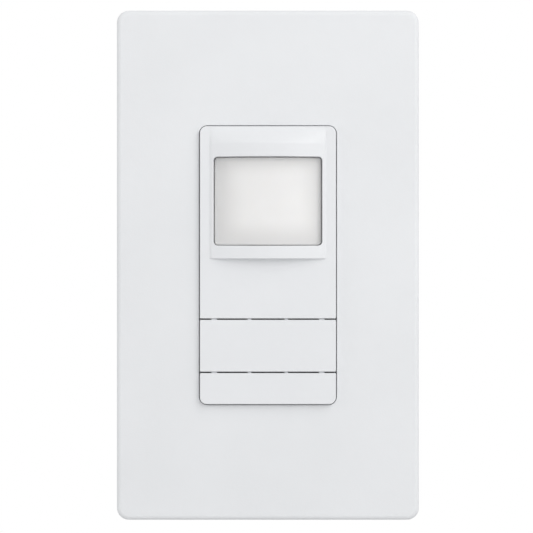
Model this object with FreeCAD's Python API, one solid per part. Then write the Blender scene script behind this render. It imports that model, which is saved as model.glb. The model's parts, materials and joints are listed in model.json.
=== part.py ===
import FreeCAD, Part
import math
import os

# Occupancy sensor wall switch with a screwless wall plate, in millimetres.
# X points right, Z up and Y into the wall. The wall surface, which the back of
# the mounting strap lies on, is y = 0, and the room is on the side of minus Y.

V = FreeCAD.Vector

# Opening for the insert, and what stands beyond its upper and lower ends
OPENING_W = 33.08
OPENING_H = 67.16
OPENING_CORNER = 2.0
BOX_SCREW_OUT = 8.09
PLATE_SCREW_OUT = 6.74
STRAP_END = 4.94
PLATE_OVERHANG = 7.85

# Wall plate: a thin shell with no screws to be seen
PLATE_W = 72.6
PLATE_D = 6.4
PLATE_CORNER = 2.9
PLATE_EDGE = 1.0
PLATE_EDGE_STEPS = 4
PLATE_SIDE_WALL = 2.0
PLATE_FACE_WALL = 2.0
PLATE_INNER_CORNER = 1.2
SNAP_FROM_END = 25.2
SNAP_L = 9.0
SNAP_BITE = 0.6
SNAP_RAMP = 0.9
RIB_FROM_SIDE = 11.3
RIB_FROM_END = 11.2
RIB_T = 1.2
PRY_NOTCH_W = 8.0
PRY_NOTCH_D = 1.2

# Sub-plate, which the wall plate snaps on
SUB_T = 2.0
SUB_CLEARANCE = 0.3
SUB_OPENING_GAP = 0.55
SUB_RIM_W = 1.6
SUB_RIM_D = 0.8
SNAP_SLACK = 0.05

# Mounting strap: stamped steel
STRAP_T = 1.2
STRAP_NARROWING = 5.0
STRAP_CORNER = 4.0
STRAP_INSET = 0.3
STRAP_LAND = 1.5
STRAP_SHOULDER = 3.0
SLOT_TRAVEL = 2.4
SLOT_GAP = 0.2
EAR_L = 4.6
EAR_NOTCH = 1.6
GROUND_TAB_W = 8.0
GROUND_TAB_D = 10.0
GROUND_FROM_END = 10.35

# Screws
BOX_SCREW_R = 1.75
BOX_NECK_R = 1.5
BOX_HEAD_R = 3.3
BOX_HEAD_T = 1.9
BOX_SCREW_REACH = 22.0
RETAINER_W = 9.0
RETAINER_T = 0.4
PLATE_SCREW_R = 1.75
PLATE_HEAD_R = 2.9
PLATE_HEAD_RIM = 0.4
PLATE_SCREW_REACH = 1.6
CASE_SCREW_R = 1.2
CASE_HEAD_R = 2.3
CASE_HEAD_T = 1.4
CASE_THREAD = 2.5
TERMINAL_SCREW_R = 1.9
TERMINAL_HEAD_R = 3.2
TERMINAL_HEAD_T = 1.6
TERMINAL_SCREW_END = 1.1
GROUND_SCREW_REACH = 5.0
SCREW_TIP = 0.7
DRIVE_SLOT_W = 0.8
DRIVE_SLOT_D = 0.6
SCREW_CLEARANCE = 0.05
HOLE_CLEARANCE = 0.25

# Insert: sensor bezel above two push bars, all to one outline
INSERT_GAP = 0.22
INSERT_PROUD = 1.6
INSERT_CORNER = 1.7
SEAM_CORNER = 0.3
INSERT_EDGE = 0.2
SEAM = 0.33
BEZEL_WALL = 1.3
BEZEL_FACE_T = 1.6
FLOOR_T = 1.6
FLOOR_ROOM = 1.3
BOSS_R = 2.2
BOSS_X = 13.2
BOSS_INTO_WALL = 0.3

# Lens hood: bowed forward, with a scooped brow and a ledge below
HOOD_W = 27.9
HOOD_RISE = 2.6
HOOD_SIDE_STEP = 0.3
HOOD_BROW = 3.2
HOOD_CHIN = 3.3
HOOD_ROOT = 0.8
HOOD_WALL = 2.6
HOOD_EDGE = 0.2
SCOOP_STEPS = 6
SCOOP_CREST = 0.15
SCOOP_END = 0.97
APERTURE_W = 26.1
APERTURE_H = 21.0
APERTURE_TOP = 7.5
APERTURE_CORNER = 1.1
APERTURE_DRAFT = 9.5

# Lens and the frame that clamps it on the strap
LENS_T = 0.9
LENS_FLANGE = 1.3
LENS_CLEARANCE = 0.15
LENS_GROOVE_COUNT = 5
LENS_GROOVE_PITCH = 4.35
LENS_GROOVE_W = 0.5
LENS_GROOVE_D = 0.25
RETAINER_FRAME_W = 1.5

# Push bars
ON_OFF_BAR_H = 12.44
LOWER_BAR_H = 7.48
BAR_TRAVEL = 1.0
BAR_FACE_T = 1.6
BAR_WALL = 1.2
BAR_STOP_GAP = 0.1
GUIDE_X = 5.5
GUIDE_W = 2.4
GUIDE_T = 1.4
GUIDE_GAP = 0.15
HOOK_REACH = 0.6
HOOK_T = 1.0
HOOK_SLACK = 0.05
PUSHER_W = 3.0
WIDE_NUB_X = 12.9
WIDE_NUB_W = 1.3
SMALL_NUB_X = 4.43
SMALL_NUB_W = 0.85
NUB_RISE = 0.28
NUB_SETBACK = 0.5
NUB_D = 1.0

# Return springs
SPRING_X = 9.4
SPRING_R = 1.5
SPRING_WIRE_R = 0.15
SPRING_TURNS = 3
SPRING_STEPS = 8
SPRING_WIRE_SIDES = 5
SPRING_SLACK = 0.03
SPRING_SEAT_W = 1.6
SPRING_SEAT_H = 0.5

# Sensor board and what stands on it
BOARD_T = 1.6
BOARD_GAP = 0.6
BOARD_EDGE_GAP = 0.9
BOARD_CORNER = 1.0
SWITCH_W = 4.5
SWITCH_GAP = 0.4
SWITCH_LEG_W = 0.7
SWITCH_LEG_T = 0.25
PLUNGER_W = 2.0
PLUNGER_SPARE = 0.2
PLUNGER_INSIDE = 0.6
PLUNGER_GAP = 0.08
PYRO_R = 4.1
PYRO_RIM_R = 4.6
PYRO_RIM_T = 0.5
PYRO_H = 4.4
PYRO_WALL = 0.4
PYRO_WINDOW_W = 4.0
PYRO_WINDOW_H = 3.2
LED_X = 8.2
LED_DROP = 6.0
LED_W = 2.8
LED_H = 3.5
LED_D = 1.9
LIGHT_SENSOR_W = 2.0
LIGHT_SENSOR_H = 3.0
LIGHT_SENSOR_D = 1.0
CHIP_W = 7.0
CHIP_D = 1.0
CHIP_LEG = 0.8
CHIP_LEG_COUNT = 6
CHIP_X = 8.0
CHIP_Z = 13.0

# Connection between the boards
PIN_COUNT = 5
PIN_PITCH = 2.54
PIN_W = 0.64
HEADER_D = 2.5
SOCKET_D = 8.5
SOCKET_W = 5.0
PIN_INTO_SOCKET = 6.0
PIN_GAP = 0.1
SHEET_T = 0.4
SHEET_HOLE_GAP = 1.0

# Rear housing
HOUSING_W = 43.6
HOUSING_D = 34.0
HOUSING_WALL = 1.8
HOUSING_CORNER = 2.5
HOUSING_EDGE = 1.2
COLUMN_W = 6.4
COLUMN_GAP = 0.4
LEDGE_D = 5.0
LEDGE_W = 1.9
LEDGE_L = 8.0
LEDGE_Z = 22.0
STANDOFF_H = 3.6
STANDOFF_W = 3.2
STANDOFF_PIN_W = 1.6
STANDOFF_PIN_OUT = 0.6
STANDOFF_FROM_SIDE = 3.1
STANDOFF_FROM_END = 9.5

# Side terminals
POCKET_W = 11.0
POCKET_BOARD_GAP = 3.0
POCKET_D = 4.5
POCKET_WALL = 1.4
POCKET_Z = 10.0
TERMINAL_T = 1.0
TERMINAL_GAP = 0.5
TONGUE_W = 3.0
TONGUE_SETBACK = 0.7
TONGUE_INSIDE = 2.4

# Power parts and the gaps between them on the power board
LEG_GAP = 2.0
PART_GAP = 1.2
ROW_GAP = 1.5
POCKET_GAP = 0.6
BOARD_END_GAP = 1.5
RELAY_W = 15.5
RELAY_H = 19.0
RELAY_ROOM = 3.9
TRANSFORMER_W = 14.0
TRANSFORMER_D = 12.0
TRANSFORMER_H = 12.0
TRANSFORMER_FLANGE = 1.4
TRANSFORMER_WINDING = 1.6
FILM_CAPACITOR_W = 6.0
FILM_CAPACITOR_D = 11.0
FILM_CAPACITOR_H = 13.0
MOULDED_EDGE = 0.5
BULK_CAPACITOR_R = 4.0
BULK_CAPACITOR_H = 13.0
VARISTOR_R = 4.0
VARISTOR_T = 3.4
VARISTOR_X = 2.6
LEAD_W = 0.6
LEAD_L = 1.0
LEAD_SPREAD = 5.0
FUSE_R = 1.6
FUSE_L = 8.0
FUSE_X = -5.0
FUSE_CAP_L = 2.0
FUSE_CAP_R = 1.8

# How far a cutter runs past the face that it opens, and how near counts as touching
PAST = 1.0
TOUCH = 1e-6

# Places along Y, from the wall towards the room
STRAP_FRONT = -STRAP_T
SUB_FRONT = STRAP_FRONT - SUB_T
PLATE_FRONT = -PLATE_D
PLATE_INNER = PLATE_FRONT + PLATE_FACE_WALL
FACE_FRONT = PLATE_FRONT - INSERT_PROUD
FACE_BACK = FACE_FRONT + BEZEL_FACE_T
FLOOR_BACK = STRAP_FRONT - FLOOR_ROOM
FLOOR_FRONT = FLOOR_BACK - FLOOR_T
BAR_INNER = FACE_FRONT + BAR_FACE_T
SKIRT_BACK = FLOOR_FRONT - BAR_TRAVEL - BAR_STOP_GAP
BOARD_FRONT = BOARD_GAP
BOARD_BACK = BOARD_FRONT + BOARD_T
SWITCH_FRONT = FLOOR_BACK + SWITCH_GAP
PLUNGER_FRONT = SWITCH_FRONT - BAR_TRAVEL - PLUNGER_SPARE

# Places along Y, from the sensor board to the back of the housing
SHEET_FRONT = BOARD_BACK + LEDGE_D
SHEET_BACK = SHEET_FRONT + SHEET_T
HOUSING_INNER = HOUSING_D - HOUSING_WALL
POWER_BACK = HOUSING_INNER - STANDOFF_H
POWER_FRONT = POWER_BACK - BOARD_T
POCKET_FRONT = SHEET_BACK + POCKET_WALL
POCKET_BACK = POWER_FRONT - POCKET_BOARD_GAP - POCKET_WALL
POCKET_MID = (POCKET_FRONT + POCKET_BACK) / 2

# Fixing pitches of a single wall box and of its cover plate, and the lengths round them
BOX_SCREW_PITCH = OPENING_H + 2 * BOX_SCREW_OUT
PLATE_SCREW_PITCH = BOX_SCREW_PITCH + 2 * PLATE_SCREW_OUT
STRAP_L = PLATE_SCREW_PITCH + 2 * STRAP_END
PLATE_H = STRAP_L + 2 * PLATE_OVERHANG
GROUND_Z = STRAP_L / 2 - GROUND_FROM_END

# Outlines in X and Z
INSERT_W = OPENING_W - 2 * INSERT_GAP
INSERT_H = OPENING_H - 2 * INSERT_GAP
INSERT_TOP = INSERT_H / 2
INSERT_BOTTOM = -INSERT_H / 2
LOWER_BAR_TOP = INSERT_BOTTOM + LOWER_BAR_H
ON_OFF_BAR_BOTTOM = LOWER_BAR_TOP + SEAM
ON_OFF_BAR_TOP = ON_OFF_BAR_BOTTOM + ON_OFF_BAR_H
FACE_BOTTOM = ON_OFF_BAR_TOP + SEAM
ROOM_W = INSERT_W - 2 * BEZEL_WALL
ROOM_H = INSERT_H - 2 * BEZEL_WALL
BOSS_Z = ROOM_H / 2 - BOSS_R + BOSS_INTO_WALL
BOARD_W = HOUSING_W - 2 * (HOUSING_WALL + BOARD_EDGE_GAP)
BOARD_H = ROOM_H
HOUSING_H = BOARD_H + 2 * (HOUSING_WALL + BOARD_EDGE_GAP)
STRAP_W = HOUSING_W - 2 * STRAP_INSET
STRAP_END_W = STRAP_W - 2 * STRAP_NARROWING
SUB_W = PLATE_W - 2 * (PLATE_SIDE_WALL + SUB_CLEARANCE)
SUB_H = PLATE_H - 2 * (PLATE_SIDE_WALL + SUB_CLEARANCE)

# Hood, aperture and lens
SPREAD = math.tan(math.radians(APERTURE_DRAFT))
APERTURE_Z = INSERT_TOP - APERTURE_TOP - APERTURE_H / 2
HOOD_TOP = APERTURE_Z + APERTURE_H / 2 + HOOD_BROW
HOOD_LEDGE = APERTURE_Z - APERTURE_H / 2 - HOOD_CHIN
HOOD_SCOOP = INSERT_TOP - INSERT_EDGE - HOOD_TOP
HOOD_BOW = HOOD_RISE - HOOD_SIDE_STEP
HOOD_R = ((HOOD_W / 2) ** 2 + HOOD_BOW ** 2) / (2 * HOOD_BOW)
HOOD_AXIS_Y = FACE_FRONT - HOOD_RISE + HOOD_R
LENS_SEAT_R = HOOD_R - HOOD_WALL
LENS_R = LENS_SEAT_R - LENS_CLEARANCE
LENS_W = ROOM_W - 2 * LENS_CLEARANCE
LENS_H = APERTURE_H + 2 * LENS_FLANGE
LENS_POCKET_H = LENS_H + 2 * LENS_CLEARANCE
LENS_FRAME_BACK = HOOD_AXIS_Y - math.sqrt(LENS_SEAT_R ** 2 - (ROOM_W / 2) ** 2) + LENS_T

# Push bar centres and the switches behind them
ON_OFF_Z = (ON_OFF_BAR_TOP + ON_OFF_BAR_BOTTOM) / 2
LOWER_Z = -ROOM_H / 2 + SWITCH_GAP + SWITCH_W / 2

# Places of the parts on the power board, from the terminals' legs and the socket
STANDOFF_X = BOARD_W / 2 - STANDOFF_FROM_SIDE
STANDOFF_Z = BOARD_H / 2 - STANDOFF_FROM_END
LEG_X = HOUSING_W / 2 - POCKET_D - POCKET_WALL - TONGUE_INSIDE
POCKET_WALL_Z = POCKET_W / 2 + POCKET_WALL + POCKET_GAP
RELAY_D = POWER_FRONT - SHEET_BACK - RELAY_ROOM
RELAY_LEFT = LEG_GAP - LEG_X
RELAY_Z = -(SOCKET_W / 2 + ROW_GAP + RELAY_H / 2)
FILM_CAPACITOR_LEFT = RELAY_LEFT + RELAY_W + PART_GAP
FILM_CAPACITOR_Z = -(POCKET_WALL_Z + FILM_CAPACITOR_H / 2)
TRANSFORMER_X = LEG_GAP - LEG_X + TRANSFORMER_W / 2
TRANSFORMER_Z = SOCKET_W / 2 + ROW_GAP + TRANSFORMER_H / 2
BULK_CAPACITOR_X = TRANSFORMER_X + TRANSFORMER_W / 2 + PART_GAP + BULK_CAPACITOR_R
BULK_CAPACITOR_Z = POCKET_WALL_Z + BULK_CAPACITOR_R
END_ROW_Z = BOARD_H / 2 - BOARD_END_GAP - VARISTOR_R

BOTH = (-1, 1)
CORNERS = [(i, k) for i in BOTH for k in BOTH]


def block(x0, x1, y0, y1, z0, z1):
    """Box between two corners."""
    return Part.makeBox(x1 - x0, y1 - y0, z1 - z0, V(x0, y0, z0))


def centred(w, y0, y1, h, x=0.0, z=0.0):
    """Box w wide and h high about the line through x and z."""
    return block(x - w / 2, x + w / 2, y0, y1, z - h / 2, z + h / 2)


def rod(radius, y0, y1, x=0.0, z=0.0):
    """Cylinder along Y."""
    return Part.makeCylinder(radius, y1 - y0, V(x, y0, z), V(0, 1, 0))


def cross_rod(radius, x0, x1, y, z):
    """Cylinder along X."""
    return Part.makeCylinder(radius, x1 - x0, V(x0, y, z), V(1, 0, 0))


def outline(w, h, y, top_r, bottom_r=None, z=0.0):
    """Rounded rectangle at depth y, with its own radius for the lower corners."""
    low_r = top_r if bottom_r is None else bottom_r
    corners = [(1, 1, top_r), (-1, 1, top_r), (-1, -1, low_r), (1, -1, low_r)]
    arcs = []
    for i, (sx, sz, r) in enumerate(corners):
        centre = V(sx * (w / 2 - r), y, z + sz * (h / 2 - r))
        turns = [math.radians(90 * i + step) for step in (0, 45, 90)]
        arcs.append([centre + V(r * math.cos(a), 0, r * math.sin(a)) for a in turns])
    edges = []
    for i, arc in enumerate(arcs):
        edges.append(Part.Arc(*arc).toShape())
        edges.append(Part.makeLine(arc[2], arcs[(i + 1) % 4][0]))
    return Part.Wire(edges)


def slab(w, h, y0, y1, top_r, bottom_r=None, z=0.0):
    """Rounded rectangle filled from depth y0 to y1."""
    face = Part.Face(outline(w, h, y0, top_r, bottom_r, z))
    return face.extrude(V(0, y1 - y0, 0))


def turned(profile, x=0.0, z=0.0):
    """Solid of revolution about a line along Y; the profile is (radius, y) points."""
    points = [V(radius, y, 0) for radius, y in profile]
    face = Part.Face(Part.makePolygon(points + points[:1]))
    solid = face.revolve(V(0, 0, 0), V(0, 1, 0), 360)
    solid.translate(V(x, 0, z))
    return solid


def bevelled(shape, y, size):
    """Bevel the edges that lie in the plane at depth y."""
    edges = [e for e in shape.Edges if all(abs(v.Y - y) < TOUCH for v in e.Vertexes)]
    return shape.makeChamfer(size, edges)


def joined(first, *others):
    """One solid from several that touch."""
    shape = first
    for other in others:
        shape = shape.fuse(other)
    return shape.removeSplitter()


def mirrored(shape):
    """The same shape on the other side of the middle."""
    return shape.mirror(V(0, 0, 0), V(1, 0, 0))


def group(solids):
    """Several separate solids kept as one node."""
    return Part.makeCompound(solids)


def spaced(count, pitch):
    """Places of a row of equal steps about its middle."""
    first = (pitch - count * pitch) / 2
    return [first + i * pitch for i in range(count)]


def slotted(screw, head_y, head_r, z):
    """Cut the driver slot into a head whose top faces the room."""
    bottom = head_y + DRIVE_SLOT_D
    return screw.cut(centred(2 * (head_r + PAST), head_y - PAST, bottom, DRIVE_SLOT_W, z=z))


def snap_hooks():
    """Catches inside the long walls of the wall plate, behind the sub-plate's edge."""
    wall = PLATE_W / 2 - PLATE_SIDE_WALL
    tip = wall - SUB_CLEARANCE - SNAP_BITE
    catch = STRAP_FRONT + SNAP_SLACK
    hooks = []
    for sx, sz in CORNERS:
        low = sz * (PLATE_H / 2 - SNAP_FROM_END) - SNAP_L / 2
        points = [V(sx * (wall + PLATE_SIDE_WALL / 2), catch, low), V(sx * tip, catch, low)]
        points += [V(sx * wall, catch + SNAP_RAMP, low)]
        points += [V(sx * (wall + PLATE_SIDE_WALL / 2), catch + SNAP_RAMP, low)]
        face = Part.Face(Part.makePolygon(points + points[:1]))
        hooks.append(face.extrude(V(0, 0, SNAP_L)))
    return hooks


def plate_blank():
    """Wall plate before it is hollowed, its front edge rounded in narrow bands."""
    wires = [outline(PLATE_W, PLATE_H, 0, PLATE_CORNER)]
    for i in range(PLATE_EDGE_STEPS + 1):
        turn = math.pi / 2 * i / PLATE_EDGE_STEPS
        inset = PLATE_EDGE - PLATE_EDGE * math.cos(turn)
        depth = PLATE_FRONT + PLATE_EDGE - PLATE_EDGE * math.sin(turn)
        corner = PLATE_CORNER - inset
        wires.append(outline(PLATE_W - 2 * inset, PLATE_H - 2 * inset, depth, corner))
    return Part.makeLoft(wires, True, True)


def wall_plate():
    """Outer shell, snapped on to the sub-plate from the front."""
    shell = plate_blank()
    room_w = PLATE_W - 2 * PLATE_SIDE_WALL
    room_h = PLATE_H - 2 * PLATE_SIDE_WALL
    shell = shell.cut(slab(room_w, room_h, PLATE_INNER, PAST, PLATE_INNER_CORNER))
    opening = slab(OPENING_W, OPENING_H, PLATE_FRONT - PAST, PLATE_INNER + PAST, OPENING_CORNER)
    shell = shell.cut(opening)
    rib_x = PLATE_W / 2 - RIB_FROM_SIDE
    rib_l = PLATE_H - 2 * RIB_FROM_END
    ribs = [centred(RIB_T, PLATE_INNER, SUB_FRONT, rib_l, sx * rib_x) for sx in BOTH]
    shell = joined(shell, *ribs, *snap_hooks())
    rim = -PLATE_H / 2
    notch = block(-PRY_NOTCH_W / 2, PRY_NOTCH_W / 2, -PRY_NOTCH_D, PAST,
                  rim - PAST, rim + PLATE_SIDE_WALL + PAST)
    return shell.cut(notch)


def sub_plate():
    """Flat frame screwed on the strap, with a raised rim."""
    corner = PLATE_INNER_CORNER
    rim_w = SUB_W - 2 * SUB_RIM_W
    rim_h = SUB_H - 2 * SUB_RIM_W
    plate = slab(SUB_W, SUB_H, SUB_FRONT - SUB_RIM_D, STRAP_FRONT, corner)
    plate = plate.cut(slab(rim_w, rim_h, SUB_FRONT - SUB_RIM_D - PAST, SUB_FRONT, corner))
    opening_w = INSERT_W + 2 * SUB_OPENING_GAP
    opening_h = INSERT_H + 2 * SUB_OPENING_GAP
    before = SUB_FRONT - PAST
    behind = STRAP_FRONT + PAST
    plate = plate.cut(slab(opening_w, opening_h, before, behind, OPENING_CORNER))
    head_r = BOX_HEAD_R + HOLE_CLEARANCE
    for sz in BOTH:
        z = sz * BOX_SCREW_PITCH / 2
        plate = plate.cut(rod(head_r, before, behind, z=z))
        plate = plate.cut(centred(2 * head_r, before, behind, BOX_SCREW_PITCH / 2, z=z / 2))
        plate = plate.cut(plate_screw(sz, HOLE_CLEARANCE))
    return plate


def plate_screw(sz, extra=0.0):
    """Oval-head screw through the sub-plate; extra makes it the cutter of its own hole."""
    cone_end = SUB_FRONT + PLATE_HEAD_R - PLATE_SCREW_R
    shank = PLATE_SCREW_R + extra
    head = PLATE_HEAD_R + extra
    top_y = SUB_FRONT - PLATE_HEAD_RIM
    profile = [(0, top_y), (head, top_y), (head, SUB_FRONT), (shank, cone_end)]
    profile += [(shank, PLATE_SCREW_REACH), (0, PLATE_SCREW_REACH)]
    return turned(profile, z=sz * PLATE_SCREW_PITCH / 2)


def plate_screws():
    """The two screws that hold the sub-plate on the strap."""
    top_y = SUB_FRONT - PLATE_HEAD_RIM
    pitch = PLATE_SCREW_PITCH / 2
    return group([slotted(plate_screw(sz), top_y, PLATE_HEAD_R, sz * pitch) for sz in BOTH])


def strap_window():
    """Cut-outs in the strap for the sensor, the switches and the bar guides."""
    wide = ROOM_W - 2 * STRAP_LAND
    tall = 2 * (BOSS_Z - BOSS_R - SWITCH_GAP)
    narrow = 2 * (BOSS_X - BOSS_R - SWITCH_GAP)
    front = STRAP_FRONT - PAST
    return centred(wide, front, PAST, tall).fuse(centred(narrow, front, PAST, ROOM_H))


def ground_tab():
    """Lug folded back from the strap's lower left edge, tapped for the ground screw."""
    edge = -STRAP_END_W / 2
    low = -GROUND_Z - GROUND_TAB_W / 2
    tab = block(edge, edge + STRAP_T, STRAP_FRONT, GROUND_TAB_D, low, low + GROUND_TAB_W)
    hole_r = TERMINAL_SCREW_R + SCREW_CLEARANCE
    return tab.cut(cross_rod(hole_r, edge - PAST, edge + STRAP_T + PAST, GROUND_TAB_D / 2, -GROUND_Z))


def mounting_strap():
    """Stamped yoke that carries everything and is screwed to the wall box."""
    middle_h = HOUSING_H + 2 * STRAP_SHOULDER
    strap = slab(STRAP_END_W, STRAP_L, STRAP_FRONT, 0, STRAP_CORNER)
    strap = joined(strap, slab(STRAP_W, middle_h, STRAP_FRONT, 0, STRAP_CORNER / 2), ground_tab())
    strap = strap.cut(strap_window())
    front = STRAP_FRONT - PAST
    slot_w = 2 * (BOX_SCREW_R + SLOT_GAP)
    for sz in BOTH:
        z = sz * BOX_SCREW_PITCH / 2
        slot = centred(SLOT_TRAVEL, front, PAST, slot_w, z=z)
        for sx in BOTH:
            slot = slot.fuse(rod(slot_w / 2, front, PAST, sx * SLOT_TRAVEL / 2, z))
        strap = strap.cut(slot)
        tapped_r = PLATE_SCREW_R + SCREW_CLEARANCE
        strap = strap.cut(rod(tapped_r, front, PAST, z=sz * PLATE_SCREW_PITCH / 2))
        for sx in BOTH:
            ear_z = sz * (STRAP_L / 2 - EAR_L)
            strap = strap.cut(centred(EAR_NOTCH, front, PAST, EAR_NOTCH / 2, sx * STRAP_END_W / 2, ear_z))
    for sx, sz in CORNERS:
        hole_r = CASE_SCREW_R + HOLE_CLEARANCE
        strap = strap.cut(centred(2 * hole_r, front, PAST, 2 * hole_r, sx * BOSS_X, sz * BOSS_Z))
    return strap


def box_screws():
    """Captive screws that fix the strap to the wall box."""
    top = STRAP_FRONT - BOX_HEAD_T
    tip = BOX_SCREW_REACH
    profile = [(0, top), (BOX_HEAD_R, top), (BOX_HEAD_R, STRAP_FRONT), (BOX_NECK_R, STRAP_FRONT)]
    profile += [(BOX_NECK_R, RETAINER_T), (BOX_SCREW_R, RETAINER_T)]
    profile += [(BOX_SCREW_R, tip - SCREW_TIP), (BOX_SCREW_R - SCREW_TIP, tip), (0, tip)]
    screws = []
    for sz in BOTH:
        z = sz * BOX_SCREW_PITCH / 2
        screws.append(slotted(turned(profile, z=z), top, BOX_HEAD_R, z))
    return group(screws)


def screw_retainers():
    """Fibre washers that keep the box screws in the strap."""
    washers = []
    for sz in BOTH:
        z = sz * BOX_SCREW_PITCH / 2
        washer = centred(RETAINER_W, 0, RETAINER_T, RETAINER_W, z=z)
        washers.append(washer.cut(rod(BOX_NECK_R + SCREW_CLEARANCE, -PAST, PAST, z=z)))
    return group(washers)


def case_screws():
    """Long screws through the housing's columns into the bezel's bosses."""
    top = HOUSING_D + CASE_HEAD_T
    screws = []
    for sx, sz in CORNERS:
        x = sx * BOSS_X
        z = sz * BOSS_Z
        shank = rod(CASE_SCREW_R, STRAP_FRONT - CASE_THREAD, HOUSING_D, x, z)
        head = rod(CASE_HEAD_R, HOUSING_D, top, x, z)
        slot = centred(2 * CASE_HEAD_R + PAST, top - DRIVE_SLOT_D, top + PAST, DRIVE_SLOT_W, x, z)
        screws.append(joined(shank, head).cut(slot))
    return group(screws)


def hood_profile(z, share):
    """Outline of the hood across X at height z; share scales how far it stands forward."""
    half = HOOD_W / 2
    root = FACE_FRONT + HOOD_ROOT
    side = FACE_FRONT - HOOD_SIDE_STEP * share
    crest = FACE_FRONT - HOOD_RISE * share
    left = V(-half, side, z)
    right = V(half, side, z)
    back_left = V(-half, root, z)
    back_right = V(half, root, z)
    edges = [Part.Arc(left, V(0, crest, z), right).toShape(), Part.makeLine(right, back_right)]
    edges += [Part.makeLine(back_right, back_left), Part.makeLine(back_left, left)]
    return Part.Wire(edges)


def scoop_share(way):
    """How far the hood still stands forward at a way up its scoop: a ramp with a round crest."""
    fall = math.hypot(way, SCOOP_CREST) - SCOOP_CREST
    return 1.0 - fall / (math.hypot(1.0, SCOOP_CREST) - SCOOP_CREST)


def hood():
    """Bowed hood: upright below, and ramped back to the bezel's face above the brow."""
    upright = Part.Face(hood_profile(HOOD_LEDGE, 1.0)).extrude(V(0, 0, HOOD_TOP - HOOD_LEDGE))
    ledge = [e for e in upright.Edges if e.Curve.TypeId == "Part::GeomCircle"
             and abs(e.Vertexes[0].Z - HOOD_LEDGE) < TOUCH]
    upright = upright.makeChamfer(HOOD_EDGE, ledge)
    sections = []
    for i in range(SCOOP_STEPS + 1):
        way = SCOOP_END * (i / SCOOP_STEPS) ** 2
        sections.append(hood_profile(HOOD_TOP + HOOD_SCOOP * way, scoop_share(way)))
    return upright.fuse(Part.makeLoft(sections, True, True))


def aperture():
    """Cutter of the lens aperture, widening towards the room."""
    wires = []
    for y in (FACE_FRONT - HOOD_RISE - PAST, LENS_FRAME_BACK):
        wider = 2 * (FACE_FRONT - y) * SPREAD
        corner = APERTURE_CORNER
        wires.append(outline(APERTURE_W + wider, APERTURE_H + wider, y, corner, z=APERTURE_Z))
    return Part.makeLoft(wires, True, True)


def bowed(radius, y_back, w, h):
    """Block round the lens centre whose front is bowed to the given radius about the hood's axis."""
    low = APERTURE_Z - h / 2
    drum = Part.makeCylinder(radius, h, V(0, HOOD_AXIS_Y, low), V(0, 0, 1))
    front = HOOD_AXIS_Y - radius - PAST
    return drum.common(block(-w / 2, w / 2, front, y_back, low, low + h))


def bar_openings(z):
    """Holes in the carrier floor for one bar's guides and pusher."""
    front = FLOOR_FRONT - SPRING_SEAT_H - PAST
    back = FLOOR_BACK + PAST
    slot_w = GUIDE_W + 2 * GUIDE_GAP
    slot_h = GUIDE_T + 2 * GUIDE_GAP
    pusher_w = PUSHER_W + 2 * HOLE_CLEARANCE
    cutters = [centred(pusher_w, front, back, pusher_w, z=z)]
    cutters += [centred(slot_w, front, back, slot_h, sx * GUIDE_X, z) for sx in BOTH]
    return cutters


def bezel():
    """Sensor face with the hood above, and the carrier floor of the push bars below."""
    face_h = INSERT_TOP - FACE_BOTTOM
    face_z = (INSERT_TOP + FACE_BOTTOM) / 2
    face = slab(INSERT_W, face_h, FACE_FRONT, STRAP_FRONT, INSERT_CORNER, SEAM_CORNER, face_z)
    face = bevelled(face, FACE_FRONT, INSERT_EDGE)
    carrier = slab(INSERT_W, INSERT_H, FLOOR_FRONT, STRAP_FRONT, INSERT_CORNER)
    body = face.fuse(carrier)
    low = FACE_BOTTOM + BEZEL_WALL
    half = ROOM_W / 2
    body = body.cut(block(-half, half, FACE_BACK, STRAP_FRONT + PAST, low, ROOM_H / 2))
    body = body.cut(block(-half, half, FLOOR_BACK, STRAP_FRONT + PAST, -ROOM_H / 2, FACE_BOTTOM))
    for sx, sz in CORNERS:
        front = FACE_BACK if sz > 0 else FLOOR_BACK
        body = body.fuse(rod(BOSS_R, front, STRAP_FRONT, sx * BOSS_X, sz * BOSS_Z))
    frame_h = LENS_POCKET_H + 2 * BEZEL_WALL
    frame = centred(ROOM_W, FACE_BACK, LENS_FRAME_BACK, frame_h, z=APERTURE_Z)
    body = body.fuse(frame).fuse(hood())
    for z in (ON_OFF_Z, LOWER_Z):
        for sx in BOTH:
            seat_y = FLOOR_FRONT - SPRING_SEAT_H
            seat_w = SPRING_SEAT_W
            body = body.fuse(centred(seat_w, seat_y, FLOOR_FRONT, seat_w, sx * SPRING_X, z))
        for cutter in bar_openings(z):
            body = body.cut(cutter)
    body = body.removeSplitter()
    body = body.cut(aperture())
    body = body.cut(bowed(LENS_SEAT_R, STRAP_FRONT + PAST, ROOM_W, LENS_POCKET_H))
    for sx, sz in CORNERS:
        tip = STRAP_FRONT - CASE_THREAD
        hole = rod(CASE_SCREW_R + SCREW_CLEARANCE, tip, 0, sx * BOSS_X, sz * BOSS_Z)
        body = body.cut(hole)
    return body


def lens():
    """Bowed moulded window with upright grooves on its inner side."""
    outer = bowed(LENS_R, 0, LENS_W, LENS_H)
    body = outer.cut(bowed(LENS_R - LENS_T, PAST, LENS_W + PAST, LENS_H + PAST))
    inner_y = HOOD_AXIS_Y - LENS_R + LENS_T
    for x in spaced(LENS_GROOVE_COUNT, LENS_GROOVE_PITCH):
        back_y = HOOD_AXIS_Y - math.sqrt((HOOD_AXIS_Y - inner_y) ** 2 - x ** 2)
        groove = centred(LENS_GROOVE_W, back_y - LENS_GROOVE_D, 0, APERTURE_H, x, APERTURE_Z)
        body = body.cut(groove)
    return body


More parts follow.
